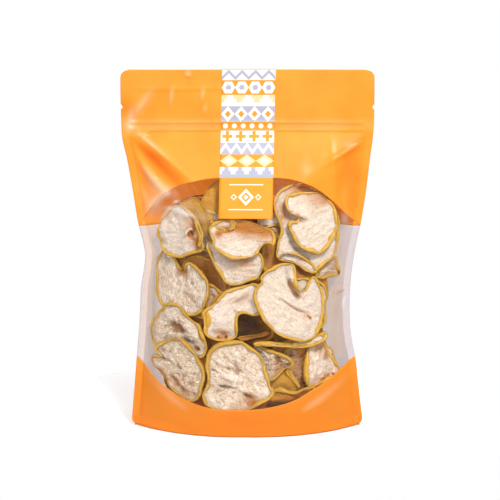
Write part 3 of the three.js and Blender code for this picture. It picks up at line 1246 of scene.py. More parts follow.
# outline: points around the slice; place: puts a point of the slice in the bag, given its height and that
# of the rim above it
def addSlice(bm, layers, settings, outline, ringKind, place):
    spec = dict(plainSlice, **settings)
    bead = spec["bead"]
    seed = spec["seed"] * sliceForm["seedStep"]
    if area(outline) < 0:
        outline = outline[::-1]
    count = len(outline)
    outline = shaken(outline, seed, spec["shake"])
    widths = rimWidths(outline, seed, spec["wides"])
    rings = sliceRings(ringKind)
    insets = {value: round(bead * (1 - math.cos(value)), 3) for kind, value, side in rings if kind == "bead"}
    curves = {inset: insetCurve(outline, inset) for inset in insets.values()}
    inner = insetCurve(outline, bead * sliceForm["fleshInset"])
    reach = max(point.length for point in outline)
    made = bmesh.ops.create_grid(bm, x_segments=count, y_segments=len(rings) - 1, size=1.0)["verts"]
    toneLayer, fibreLayer = layers
    fibreCos = math.cos(math.radians(spec["fibreTurn"]))
    fibreSin = math.sin(math.radians(spec["fibreTurn"]))
    for vert in made:
        k = int(round((1 - vert.co.x) / 2 * count)) % count
        kind, value, side = rings[int(round((vert.co.y + 1) / 2 * (len(rings) - 1)))]
        if kind == "bead":
            point = outline[k].lerp(curves[insets[value]][k], widths[k])
            up = bead * widths[k] * math.sin(value) * (sliceForm["taller"] if value > 0 else 1.0)
            rim = 1.0 if value > math.radians(sliceForm["underFrom"]) else sliceForm["underPeel"]
            if value > math.radians(sliceForm["overFrom"]):
                rim = sliceForm["overPeel"]
            # how far the bead faces up, which paints its highlight and shade
            facing = 0.5 + 0.5 * math.sin(value)
        else:
            point = outline[k].lerp(inner[k], widths[k]) * (1 - value)
            up = side * mix(bead / 2, spec["thick"], smoothStep(0.0, sliceForm["thickFrom"], value))
            rim = 0.0
            facing = sliceForm["peelUp"]
        a, b = point.x, point.y
        onward = a * fibreCos + b * fibreSin
        across = b * fibreCos - a * fibreSin
        away = min(1.0, point.length / reach)
        angle = math.atan2(b, a)
        folded = sum(high * math.exp(-bell(a, b, (bx, by), long, wide, turn))
                     for bx, by, long, wide, turn, high in spec["bumps"])
        stainAndShade = sum(amount * math.exp(-bell(a, b, (bx, by), radius, radius, 0))
                    for bx, by, radius, amount in spec["stainsAndShade"])
        bend = sliceBend(spec, seed, a, b, away, angle) + folded
        if side >= 0:
            for bx, by, long, wide, turn in spec["peels"]:
                laid = math.exp(-bell(a, b, (bx, by), long, wide, turn) ** 3)
                rim = max(rim, sliceForm["peelEdge"] * laid)
            if spec["skin"]:
                rim = 1.0
        rim *= spec["rim"]
        relief = 0.0
        if kind == "flesh":
            face = seed + side * sliceForm["faceStep"]
            relief = fleshRelief(face, a, b, onward, across, away, angle)
            relief *= smoothStep(*sliceForm["wrinkleFrom"], value)
        vert.co = place(a, b, bend + up + side * relief * spec["wrinkle"], bend + bead)
        # raised flesh is painted lighter and sunken flesh darker, as painted highlight and shade
        raised = relief * sliceForm["reliefPaintedLight"] * spec["dry"] + folded * sliceForm["foldPaintedLight"]
        tone = facing if rim > sliceForm["peelFrom"] else clamp(0.5 + raised, 0.0, 1.0)
        vert[toneLayer] = (rim, clamp(stainAndShade, 0.0, 1.0), spec["dry"], tone)
        vert[fibreLayer] = (onward + seed, across, side * sliceForm["fibreStep"] + bend)
    bmesh.ops.remove_doubles(bm, verts=made, dist=1e-5)


# A slice that would stick out of the films is pushed back, with its whole thickness, or pressed flat
closest = {"film": 0.24, "table": 1.2}


def keptInside(point, top, room, fine):
    front = filmY(top.x, top.z, -1, fine)
    back = filmY(top.x, top.z, 1, fine)
    push = max(0.0, front + room - top.y) - max(0.0, top.y + room - back)
    y = clamp(point.y + push, front + closest["film"], back - closest["film"])
    return Vector((point.x, y, max(point.z, closest["table"])))


def startFruit():
    bm = bmesh.new()
    layers = (bm.verts.layers.float_color.new("tone"), bm.verts.layers.float_vector.new("fibre"))
    return bm, layers


def finishFruit(name, bm):
    print(name, "faces:", len(bm.faces))
    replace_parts(finished(name, bm, pearMaterial, "dried_pear"), "pouch")


# how a film's y changes across and up, taken over some mm
def slopeAcross(x, z, side, step):
    return (filmY(x + step, z, side, False) - filmY(x - step, z, side, False)) / (2 * step)


def slopeUp(x, z, side, step):
    return (filmY(x, z + step, side, False) - filmY(x, z - step, side, False)) / (2 * step)


# How a slice lies against the front film, in mm: the step that its slope is taken over, the share by which
# it faces straight forward instead, its room to the film, and how far apart its outline's points are
frontLay = {"step": 4.0, "straight": 0.15, "room": 0.5, "spacing": 1.15}
fewestPoints = 60  # of any outline

# A slice's details, and how many of the sizes of each are given in pixels
details = {"bumps": 2, "peels": 2, "stainsAndShade": 1, "wides": 1}


# a slice laid against the front film
def addFrontSlice(bm, layers, spec):
    centre = filmPoint(*spec["middle"], spec["deep"])
    slopeX = slopeAcross(centre.x, centre.z, -1, frontLay["step"])
    slopeZ = slopeUp(centre.x, centre.z, -1, frontLay["step"])
    normal = Vector((slopeX, -1.0, slopeZ)).normalized()
    normal = normal.lerp(Vector((0.0, -1.0, 0.0)), frontLay["straight"]).normalized()
    across = (Vector((1.0, 0.0, 0.0)) - normal * normal.x).normalized()
    upward = normal.cross(across)

    def onSlice(px, py):
        ray = pixelRay(px, py)
        hit = eye + ray * ((centre - eye).dot(normal) / ray.dot(normal)) - centre
        return Vector((hit.dot(across), hit.dot(upward)))

    corners = [onSlice(*point) for point in spec["outline"]]
    outline = closedCurve(corners, max(fewestPoints, int(perimeter(corners) / frontLay["spacing"])))
    local = dict(spec)
    for key, lengths in details.items():
        local[key] = []
        for px, py, *rest in spec.get(key, ()):
            spot = onSlice(px, py)
            sizes = [size * pixelSize for size in rest[:lengths]]
            local[key].append((spot.x, spot.y, *sizes, *rest[lengths:]))

    def place(a, b, height, top):
        flat = centre + across * a + upward * b
        return keptInside(flat + normal * height, flat + normal * top, frontLay["room"], True)

    addSlice(bm, layers, local, outline, fineRings, place)


# The slices seen through the window, each as what differs from the plain slice. Middles, outlines, bumps
# (with length, width, turn and height), stains and painted shade (with radius and amount), wides (with
# radius and amount) and peels (with length, width and turn) are in pixels of the 500 x 500 view. "deep" is
# how many mm the slice lies behind the film
frontSlices = {
    "kidneyUpperRight": {
        "middle": (315, 225), "deep": 3.6, "seed": 3, "dry": 0.25, "saddle": 0.8, "wavy": 1.0,
        "fibreTurn": 30,
        "outline": [
            (298, 218), (293, 215), (288, 212), (285, 207), (284, 201), (287, 195), (293, 193), (302, 192),
            (313, 192), (321, 194), (327, 198), (333, 204), (336, 211), (337, 220), (336, 230), (334, 237),
            (330, 244), (325, 251), (317, 255), (310, 253), (302, 249), (295, 243), (291, 235), (288, 228),
            (288, 222), (292, 220), (296, 221),
        ],
        "bumps": [(300, 220, 9, 3, -10, -2.2), (316, 250, 16, 4, 10, 1.0), (308, 226, 10, 3, -30, 0.7)],
        # the last two stains paint the shade under the print along the top
        "stainsAndShade": [(296, 217.4, 3.4, 0.8), (303, 222, 4, 0.16), (316, 195, 12, 0.42), (326, 200, 6, 0.36)],
        "wides": [(331, 236, 7, 0.8), (310, 252, 14, 0.5), (290, 228, 9, 0.3), (318, 193, 12, -0.6)],
        "peels": [(331, 240, 5, 3.4, -60)],
    },
    "wideRight": {
        "middle": (299, 308), "deep": 3.4, "seed": 10, "saddle": 1.0, "wavy": 1.1, "fibreTurn": -28,
        "outline": [
            (281, 263), (288, 263), (294, 265), (296, 271), (296, 278), (298, 286), (300, 290), (304, 290),
            (306, 286), (309, 280), (313, 276), (317, 279), (320, 286), (323, 293), (324, 303), (323, 316),
            (321, 326), (317, 334), (310, 340), (301, 342), (290, 340), (280, 336), (270, 329), (262, 321),
            (256, 310), (253, 300), (254, 292), (257, 287), (261, 283), (260, 278), (265, 272), (273, 266),
        ],
        "bumps": [
            (291.4, 286, 10, 2.8, -64, -3.2), (297.6, 295.6, 5, 2.4, -34, -2.4),
            (288, 302, 16, 2.2, -28, 0.9), (288, 271, 8, 3, -20, -1.1), (298.4, 283, 1.8, 9, 6, 1.8),
            (283, 300.6, 4, 0.9, -40, -1.6), (290, 306, 7, 0.9, -34, -1.3), (269, 303, 4, 0.9, -30, -1.0),
            (300, 311, 8, 1.1, -24, -1.3), (261, 309, 4, 0.9, -60, -0.9), (310, 300, 9, 3, 60, 0.6),
        ],
        # the first two stains paint the shade in the notch's valley; the small dark ones are the seed scar
        "stainsAndShade": [
            (293, 288, 3.4, 0.2), (299, 296.4, 3, 0.2), (309.4, 317.4, 1.3, 1.2), (307.2, 315.6, 1.0, 0.8),
            (306, 315, 4, 0.2), (289, 304, 4, 0.12), (298, 311, 4, 0.12),
        ],
        "wides": [(297, 281, 8, 0.7), (258, 310, 14, 0.15), (320, 325, 8, 0.3), (288, 263, 9, -0.4)],
    },
    "kidneyFootLeft": {
        "middle": (182, 370), "deep": 3.4, "seed": 9, "dry": 0.85, "saddle": 0.8, "wavy": 0.9,
        "wrinkle": 0.8,
        "outline": [
            (154, 350), (157, 346), (162, 342), (170, 339), (180, 338), (187, 342), (194, 350), (200, 360),
            (205, 368), (206, 375), (204, 385), (201, 396), (195, 401), (188, 401), (178, 394), (171, 388),
            (166, 380), (161, 373), (156, 369), (152, 364), (151, 360), (153, 356), (157, 355), (162, 358),
            (159, 354), (155, 353),
        ],
        "bumps": [
            (163, 357.6, 8, 1.6, -20, -2.4), (156, 361, 5, 3, -35, 1.2), (176, 381, 10, 2.4, -46, -1.6),
            (186, 391, 10, 3, -30, -1.3), (172, 360, 8, 1.4, 40, 1.0), (190, 372, 10, 1.6, 60, 1.0),
            (180, 368, 7, 1.2, -60, -1.0), (188, 356, 8, 1.2, -40, 0.8),
        ],
        "stainsAndShade": [
            (175, 382, 6, 0.26), (187, 393, 9, 0.3), (161.5, 357, 2.4, 0.5), (163, 376, 5, 0.5),
            (152, 362, 3, 0.5), (159, 372, 4, 0.6), (166, 381, 4, 0.6),
        ],
        "wides": [(200, 360, 14, 0.3), (190, 346, 10, 0.25), (158, 370, 14, -0.55)],
    },
    "roundFoot": {
        "middle": (238, 375), "deep": 3.2, "seed": 11, "dry": 0.75, "saddle": 0.8, "wavy": 0.9,
        "wrinkle": 0.9, "fibreTurn": -35,
        "outline": [
            (207, 354), (211, 348), (218, 343), (228, 341), (238, 340), (247, 344), (257, 351), (263, 359),
            (266, 368), (269, 377), (271, 386), (275, 392), (271, 399), (262, 404), (249, 410), (236, 412),
            (222, 412), (210, 408), (204, 404), (202, 397), (204, 391), (206, 385), (207, 377), (205, 368),
            (206, 361),
        ],
        "bumps": [
            (229, 376, 6.5, 2.8, -28, 2.6), (241, 379, 2.2, 5, 10, 2.4), (229, 383.4, 13, 1.2, -20, 2.2),
            (244, 391, 6, 1.2, -38, 1.8), (227, 386.6, 9, 1.5, -6, -2.9), (233, 369.6, 9, 2.6, -14, -2.2),
            (249, 396.4, 7, 2.8, -24, -3.2), (207, 386, 2.8, 6, 0, -3.4), (220, 362, 9, 1.6, -40, 1.0),
            (214, 371, 6, 1.6, -20, -1.2), (236, 358, 9, 1.6, -70, 0.9), (257, 388, 8, 1.6, -60, 1.0),
            (218, 356, 10, 1.4, -30, -0.9), (247, 366, 9, 1.6, 30, 0.9), (258, 378, 8, 1.4, 60, 0.8),
        ],
        "stainsAndShade": [(247, 397, 5, 0.16), (207, 387, 4, 0.2), (254, 403, 6, 0.6), (240, 404, 8, 0.16)],
        "wides": [(272, 393, 4, 0.9), (228, 341, 12, 0.3), (208, 362, 8, 0.2)],
    },
    "eyeUpperLeft": {
        "middle": (181, 233), "deep": 4.2, "seed": 5, "dry": 0.22, "saddle": 1.0, "wavy": 1.2,
        "outline": [
            (170, 207), (178, 205), (185, 207), (191, 211), (196, 218), (199, 226), (202, 234), (203, 241),
            (205, 247), (201, 252), (191, 255), (179, 258), (170, 256), (164, 252), (161, 244), (158, 235),
            (158, 229), (160, 222), (164, 214), (167, 210),
        ],
        "bumps": [
            (188.6, 231.5, 6, 6, 0, 1.0), (189.8, 233.4, 3.4, 4.2, 0, -4.4), (198, 243, 6, 3.6, 70, -2.6),
            (192, 219, 7, 3.4, -60, -1.6), (195, 228, 8, 4, 70, -1.8),
        ],
        "stainsAndShade": [
            (189.8, 233.4, 5, 0.34), (190.8, 232.8, 2, 0.4), (190.5, 221, 8, 0.28), (196, 229, 8, 0.3),
            (197, 241, 6, 0.5), (198.6, 247, 3.4, 0.6),
        ],
        "wides": [(160, 240, 10, 0.25), (180, 256, 12, 0.2), (178, 206, 12, -0.5)],
    },
    "eyeStrip": {
        "middle": (199, 232), "deep": 2.6, "seed": 33, "dry": 0.4, "thick": 0.8, "saddle": 0.1, "wavy": 0.3,
        "wrinkle": 0.2, "bead": 0.9, "skin": True,
        "outline": [
            (194.5, 217.5), (197.5, 218.5), (199.5, 223.5), (202, 229), (203.5, 235), (203, 241),
            (200.5, 246.5), (198, 246), (199, 240.5), (199, 235), (196.5, 229.5), (195, 223.5),
        ],
        "stainsAndShade": [(200, 242, 4, 0.3)],
    },
    "eyeRing": {
        "middle": (189.6, 230.4), "deep": 2.4, "seed": 34, "thick": 0.5, "saddle": 0.1, "wavy": 0.2,
        "wrinkle": 0.2, "bead": 0.6, "rim": 0.2,
        "outline": [
            (185, 234.5), (186, 231), (188.5, 228.5), (191.5, 228), (193, 230), (190.5, 230),
            (188.5, 231.5), (186.5, 235),
        ],
    },
    "leftMiddle": {
        "middle": (183, 291), "deep": 10.0, "seed": 6, "dry": 0.5, "wavy": 1.3, "wrinkle": 0.8,
        "fibreTurn": 80,
        "outline": [
            (163, 250), (157, 259), (156, 272), (156, 287), (158, 297), (163, 306), (172, 312), (184, 316),
            (195, 316), (202, 312), (206, 305), (209, 295), (209, 287), (208, 280), (203, 272), (197, 266),
            (190, 262), (185, 264), (181, 270), (178, 263), (174, 254), (169, 249),
        ],
        "bumps": [
            (182, 271, 7, 5, 10, -3.0), (186, 292, 10, 10, 0, -0.6), (192, 284, 7, 1.4, -50, -1.0),
            (180, 292, 8, 1.2, 60, 0.8),
        ],
        # the first stain paints the shade in the notch
        "stainsAndShade": [(181, 269.6, 3.6, 0.8), (185, 272, 4, 0.3), (190, 296, 6, 0.12)],
    },
    "foldedLeft": {
        "middle": (178, 332), "deep": 7.0, "seed": 7, "dry": 0.65, "saddle": 1.4, "wavy": 1.0,
        "wrinkle": 1.0,
        "outline": [
            (155, 345), (152, 336), (151, 326), (154, 317), (161, 308), (169, 302), (177, 304), (184, 310),
            (188, 316), (194, 321), (201, 325), (204, 332), (207, 341), (208, 350), (204, 357), (196, 360),
            (183, 360), (167, 356),
        ],
        "bumps": [
            (164, 318, 16, 6, 42, 0.9), (177, 327, 12, 4, -34, -3.0), (195, 333, 12, 5, -18, 1.2),
            (190, 342, 10, 3, -25, -2.2), (197.5, 349, 2.2, 2.2, 0, -2.5), (169, 333, 7, 1.2, 50, -1.2),
            (166, 324, 7, 1.0, 20, 0.9),
        ],
        "stainsAndShade": [(178, 328, 7, 0.14), (197.5, 349, 1.8, 1.0)],
        "peels": [(203, 335, 3.5, 7, 10)],
    },
    "lShape": {
        "middle": (225, 308), "deep": 8.6, "seed": 8, "dry": 0.25, "saddle": 0.9, "wavy": 1.2,
        "fibreTurn": 30,
        "outline": [
            (222, 294), (228, 289), (237, 287), (246, 285), (256, 283), (264, 288), (268, 300), (265, 311),
            (256, 316), (246, 314), (240, 315), (238, 319), (238, 325), (238, 332), (236, 338), (228, 342),
            (217, 341), (210, 339), (206, 336), (203, 330), (204, 325), (203, 318), (202, 312), (208, 307),
            (214, 304), (218, 298),
        ],
        "bumps": [
            (219, 315, 10, 6, 60, 0.9), (222, 334, 9, 4, 0, -1.8), (244, 300, 12, 5, 20, -0.9),
            (237, 327, 2.5, 9, 0, 1.4),
        ],
        "stainsAndShade": [
            (218.6, 337, 1.4, 1.3), (221.6, 338, 1.2, 0.8), (226, 337, 1.8, 1.3), (222, 333, 7, 0.24),
            (247, 297, 4, 0.25), (236, 300, 5, 0.15),
        ],
        "peels": [(207, 319.5, 4.6, 8.5, 4), (237, 327, 3, 10, 0)],
    },
    "belowLabel": {
        "middle": (243, 241), "deep": 5.0, "seed": 15, "saddle": 0.9, "wavy": 1.0,
        "outline": [
            (210, 236), (212, 241), (214, 247), (220, 253), (228, 258), (235, 260), (244, 259), (252, 257),
            (258, 254), (260, 249), (264, 245), (269, 244), (274, 246), (276, 240), (273, 231), (262, 226),
            (248, 221), (235, 219), (222, 220), (212, 223), (209, 230),
        ],
        "bumps": [(225, 229, 8, 3, 0, -1.8), (264, 243, 4, 6, 20, 1.4), (244, 232, 12, 3, -8, -1.2)],
        # most of these paint shade: under the label along the top, and under the calyx at the left
        "stainsAndShade": [
            (219, 233.4, 4, 0.8), (227, 231, 4, 0.5), (238, 226, 9, 0.5), (254, 226, 12, 0.6),
            (268, 232, 9, 0.45), (212, 240, 5, 0.22), (218, 251, 5, 0.2),
        ],
        "wides": [(250, 220, 22, -0.7), (214, 246, 8, -0.2)],
    },
    "calyxLeft": {
        "middle": (216, 227), "deep": 3.0, "seed": 35, "dry": 0.6, "thick": 0.8, "saddle": 0.3, "wavy": 0.5,
        "wrinkle": 0.5, "bead": 0.8, "skin": True,
        "outline": [
            (209.5, 222), (212.5, 220.5), (215.5, 223), (217, 226), (222, 227.5), (226.5, 230),
            (225.5, 232.5), (220, 232.5), (214.5, 229.5), (210.5, 226),
        ],
        "stainsAndShade": [(213, 223, 4, 0.5), (219, 228, 9, 0.24), (222, 232, 4, 0.4)],
    },
    "calyxRight": {
        "middle": (231, 225), "deep": 3.2, "seed": 36, "dry": 0.6, "thick": 0.7, "saddle": 0.3, "wavy": 0.4,
        "wrinkle": 0.5, "bead": 0.7, "skin": True,
        "outline": [
            (228.5, 219), (233, 219), (235.5, 223), (235, 228), (231.5, 230.5), (228.5, 229.5), (231, 227),
            (231.5, 223), (229.5, 221),
        ],
        "stainsAndShade": [(231, 225, 9, 0.34)],
    },
    "underLabelLeft": {
        "middle": (236, 268), "deep": 11.0, "seed": 19, "dry": 0.35, "saddle": 1.0, "wavy": 1.2,
        "outline": [
            (206, 246), (208, 252), (211, 258), (214, 264), (218, 272), (222, 278), (226, 283), (232, 286),
            (241, 285), (248, 282), (256, 280), (262, 272), (264, 260), (256, 249), (240, 244), (222, 240),
            (210, 241),
        ],
        "bumps": [(238, 258, 16, 5, -10, -1.8)],
        "stainsAndShade": [(238, 256, 14, 0.28), (246, 262, 8, 0.2)],
        "peels": [(209, 252, 3, 9, 24)],
    },
    "wideUpperRight": {
        "middle": (308, 229), "deep": 9.6, "seed": 4, "saddle": 0.8, "wavy": 0.9,
        "outline": [
            (290, 185), (300, 183), (310, 186), (320, 190), (330, 198), (336, 208), (339, 220), (339, 234),
            (337, 247), (333, 257), (325, 264), (317, 271), (310, 265), (304, 260), (296, 256), (288, 254),
            (281, 255), (277, 259), (275, 253), (276, 245), (278, 237), (280, 229), (277, 220), (274, 212),
            (273, 202), (276, 195), (282, 189),
        ],
        "bumps": [(296, 256, 18, 3, -22, 1.6), (298, 248, 14, 4, -22, -1.2)],
        # painted shade: under the print along the top, and beside the slice in front at the left
        "stainsAndShade": [(296, 186, 10, 0.6), (310, 188, 7, 0.5), (283, 206, 6, 0.46), (283, 217, 6, 0.46)],
    },
    "foldBelow": {
        "middle": (290, 260), "deep": 13.0, "seed": 14, "dry": 0.4, "saddle": 0.5, "wavy": 0.7,
        "outline": [
            (276, 257), (280, 261), (287, 262), (293, 264), (299, 267), (306, 272), (313, 274), (317, 271),
            (312, 262), (304, 254), (294, 249), (283, 250),
        ],
        "stainsAndShade": [(300, 266, 5, 0.25)],
    },
    "cornerRight": {
        "middle": (329, 268), "deep": 12.0, "seed": 17, "dry": 0.5, "saddle": 0.4, "wavy": 0.6, "bead": 1.1,
        "outline": [
            (324, 262), (335, 256), (338, 263), (340, 270), (338, 275), (331, 277), (321, 279), (313, 277),
            (316, 269),
        ],
        "stainsAndShade": [(334, 264, 5, 0.3), (328, 277, 12, 0.22)],
        "wides": [(329, 277, 8, 0.5), (339, 266, 5, 0.3)],
    },
    "leftOfRim": {
        "middle": (270, 215), "deep": 13.5, "seed": 21, "saddle": 0.6, "wavy": 0.7,
        "outline": [
            (257, 219), (257, 226), (262, 230), (269, 228), (277, 225), (283, 226), (289, 215), (283, 200),
            (268, 195), (257, 205),
        ],
        "stainsAndShade": [(258, 222, 5, 0.3)],
    },
    "tanCorner": {
        "middle": (273, 231), "deep": 15.5, "seed": 22, "dry": 0.9, "saddle": 0.3, "wavy": 0.4, "bead": 1.0,
        "outline": [(261, 230), (270, 224), (282, 224), (281, 232), (276, 241), (269, 238)],
        "stainsAndShade": [(272, 232, 12, 0.4)],
    },
    "shadedTop": {
        "middle": (221, 203), "deep": 12.5, "seed": 23, "dry": 0.5, "thick": 0.5, "saddle": 0.8,
        "wavy": 0.8, "wrinkle": 0.25, "bead": 0.35, "skin": True,
        "outline": [
            (204, 214), (201, 205), (203, 196), (208, 188), (216, 181), (226, 178), (238, 180), (242, 198),
            (238, 215), (226, 224), (212, 222),
        ],
        "stainsAndShade": [(214, 200, 30, 0.5)],
    },
    "behindEye": {
        "middle": (194, 212), "deep": 9.4, "seed": 24, "dry": 0.5, "thick": 0.5, "saddle": 0.6, "wavy": 0.7,
        "wrinkle": 0.3, "bead": 0.35, "skin": True,
        "outline": [
            (180, 203), (187, 199), (195, 197), (201, 202), (206, 211), (209, 222), (208, 235), (200, 236),
            (191, 222), (183, 212),
        ],
        # the stains paint this slice's shade under the print
        "stainsAndShade": [(190, 203, 14, 0.5), (204, 224, 12, 0.5)],
    },
    "betweenTop": {
        "middle": (208, 232), "deep": 13.8, "seed": 25, "dry": 0.9, "saddle": 0.6, "wavy": 0.9, "rim": 0.5,
        "outline": [
            (198, 214), (210, 210), (222, 216), (226, 232), (220, 247), (208, 252), (199, 246), (196, 230),
        ],
        # the stain paints this slice's shade under the print
        "stainsAndShade": [(206, 232, 15, 0.5)],
    },
    # a brown slice that paints the shade in the gap left of the middle
    "leftGap": {
        "middle": (206, 275), "deep": 18.0, "seed": 37, "dry": 1.0, "saddle": 0.5, "wavy": 0.7, "rim": 0.5,
        "outline": [
            (186, 252), (204, 247), (222, 256), (232, 276), (228, 296), (212, 304), (196, 292), (186, 272),
        ],
        "stainsAndShade": [(206, 275, 44, 0.62), (216, 288, 8, 0.2)],
    },
    # a dark slice that paints the shade deep in the gap below the middle slices
    "gapShadeSlice": {
        "middle": (248, 328), "deep": 13.4, "seed": 38, "dry": 1.0, "saddle": 0.3, "wavy": 0.5, "rim": 0.6,
        "outline": [
            (230, 316), (244, 311), (262, 314), (272, 324), (274, 336), (262, 342), (244, 342), (232, 334),
        ],
        "stainsAndShade": [(248, 326, 40, 1.0)],
    },
    # brown peel that paints the shade along the gap's edge
    "gapEdge": {
        "middle": (254, 337), "deep": 10.2, "seed": 39, "dry": 0.8, "thick": 0.6, "saddle": 0.2,
        "wavy": 0.3, "wrinkle": 0.3, "bead": 0.7, "skin": True,
        "outline": [
            (238, 337), (248, 335), (258, 334), (266, 331), (270, 333), (262, 337), (252, 339), (242, 341),
        ],
        "stainsAndShade": [(254, 336, 24, 0.86)],
    },
    "edgeOnRight": {
        "middle": (290, 344), "deep": 8.5, "seed": 13, "thick": 0.9, "saddle": 0.1, "wavy": 0.3,
        "bead": 1.15,
        "outline": [
            (252.5, 343.5), (262, 341), (275, 341.5), (290, 342.5), (303, 342), (311, 338.5), (318, 333.5),
            (324.5, 331.5), (327, 334.5), (326, 339.5), (320, 343.5), (311.5, 346.5), (303, 348),
            (291, 348), (280, 347), (268, 346.5), (257, 346),
        ],
    },
    "triangleRight": {
        "middle": (319, 366), "deep": 10.5, "seed": 12, "dry": 0.35, "saddle": 0.5, "wavy": 0.8,
        "fibreTurn": 100,
        "outline": [
            (314, 342), (321, 340), (326, 344), (329, 350), (333, 357), (337, 364), (342, 371), (336, 376),
            (326, 381), (317, 386), (309, 388), (305, 382), (303, 373), (303, 364), (305, 356), (308, 348),
        ],
        "bumps": [
            (313, 362, 2, 16, 6, 1.2), (318, 352, 1.6, 9, -20, 1.0), (327, 356, 4, 10, -34, -1.8),
            (320, 348, 10, 3, 0, -1.4), (322, 368, 2, 10, -40, 0.6),
        ],
        "stainsAndShade": [(327, 354, 5, 0.36), (319, 347, 7, 0.4), (313, 381, 4, 0.2)],
        "wides": [(304, 366, 9, 1.3), (307, 378, 6, 1.0), (325, 378, 9, 0.6), (332, 355, 9, 0.3)],
    },
    "wrinkledRight": {
        "middle": (275, 360), "deep": 11.0, "seed": 16, "dry": 1.0, "saddle": 0.6, "wavy": 0.9,
        "wrinkle": 1.2,
        "outline": [
            (254, 346), (265, 347), (275, 351), (284, 354), (291, 358), (294, 363), (292, 368), (286, 370),
            (282, 373), (274, 380), (266, 380), (260, 368), (256, 356),
        ],
        "bumps": [(280, 362, 10, 4, -35, -1.6), (272, 358, 8, 2, -20, 1.2), (286, 369, 3, 3, 0, -2.4)],
        "stainsAndShade": [(272, 358, 8, 0.12), (277, 370, 7, 0.35), (286, 371, 2.6, 1.0)],
        "wides": [(284, 354, 12, 0.5), (293, 363, 5, 0.4)],
    },
    "curlRight": {
        "middle": (293, 378), "deep": 12.0, "seed": 31, "dry": 0.5, "saddle": 0.2, "wavy": 0.3,
        "wrinkle": 0.2, "bead": 0.9, "skin": True,
        "outline": [
            (287.5, 369), (290.5, 369.5), (292.5, 373.5), (296.5, 379.5), (300, 385), (298.5, 388.5),
            (295.5, 384.5), (291, 380), (286.5, 375), (285.5, 372),
        ],
        "stainsAndShade": [(293, 378, 20, 0.34)],
    },
    "peelSide": {
        "middle": (286, 382), "deep": 14.0, "seed": 26, "dry": 0.6, "thick": 0.6, "saddle": 0.3,
        "wavy": 0.4, "wrinkle": 0.15, "bead": 0.5, "skin": True,
        "outline": [
            (270, 377), (275, 373), (281, 372), (287, 374), (292, 379), (297, 385), (299, 388), (292, 391),
            (282, 390), (272, 389),
        ],
        "bumps": [(284, 381, 10, 7, 0, 1.4)],
        "stainsAndShade": [(284, 381, 26, 0.5)],
    },
    "footRim": {
        "middle": (288, 397), "deep": 9.5, "seed": 27, "dry": 0.9, "saddle": 0.4, "wavy": 0.5, "bead": 1.2,
        "shake": 0.7, "skin": True,
        "outline": [
            (268, 392), (273, 389), (278, 387), (283, 387), (288, 390), (294, 391), (300, 389), (306, 387),
            (313, 385), (316, 388), (314, 393), (307, 400), (292, 407), (274, 411), (262, 409),
        ],
        "bumps": [(280, 396, 8, 3, 0, -1.6), (300, 396, 9, 3, 20, -1.6)],
        # the stains paint the shade below the rim, down to the print's edge
        "stainsAndShade": [(270, 408, 12, 0.95), (284, 408, 13, 0.9), (301, 403, 12, 0.9), (307, 390, 8, 0.36)],
        "wides": [(280, 387, 7, 0.4)],
    },
    "footShade": {
        "middle": (300, 392), "deep": 15.0, "seed": 32, "dry": 1.0, "saddle": 0.4, "wavy": 0.6, "rim": 0.4,
        "outline": [
            (270, 392), (290, 384), (314, 378), (334, 372), (336, 384), (318, 398), (292, 408), (270, 408),
        ],
        "stainsAndShade": [(300, 392, 40, 0.86)],
    },
    "behindWide": {
        "middle": (302, 305), "deep": 8.2, "seed": 18, "saddle": 0.8, "wavy": 1.0,
        "outline": [
            (284, 283), (292, 279), (300, 278), (308, 278), (316, 279), (323, 284), (327, 294), (326, 306),
            (326, 318), (324, 326), (312, 333), (296, 334), (278, 326), (272, 308), (274, 292),
        ],
    },
    "rimBehind": {
        "middle": (222, 303), "deep": 16.0, "seed": 20, "dry": 0.8, "saddle": 0.6, "wavy": 0.8,
        "outline": [
            (208, 284), (213, 284), (218, 288), (224, 292), (236, 298), (240, 312), (230, 324), (214, 322),
            (206, 306), (206, 292),
        ],
        "stainsAndShade": [(216, 300, 14, 0.25)],
    },
    "creamEdge": {
        "middle": (329, 356), "deep": 13.5, "seed": 28, "dry": 0.2, "saddle": 0.3, "wavy": 0.4, "bead": 0.9,
        "outline": [
            (324, 348), (329.5, 346.5), (333.5, 351), (334.5, 357), (336.5, 364), (330, 366), (324, 358),
        ],
    },
    "shadeRight": {
        "middle": (300, 366), "deep": 17.0, "seed": 29, "dry": 1.0, "saddle": 0.6, "wavy": 0.8,
        "outline": [
            (284, 350), (298, 346), (312, 350), (318, 362), (314, 378), (302, 388), (290, 384), (282, 368),
        ],
        "stainsAndShade": [(300, 366, 24, 0.42)],
    },
}

# The nearest slices and those that they cover are two pieces
for name, nearest, farthest in (("pear_slices_front", 0.0, 9.0), ("pear_slices_second", 9.0, 30.0)):
    bm, layers = startFruit()
    for spec in frontSlices.values():
        if nearest <= spec["deep"] < farthest:
            addFrontSlice(bm, layers, spec)
    finishFruit(name, bm)


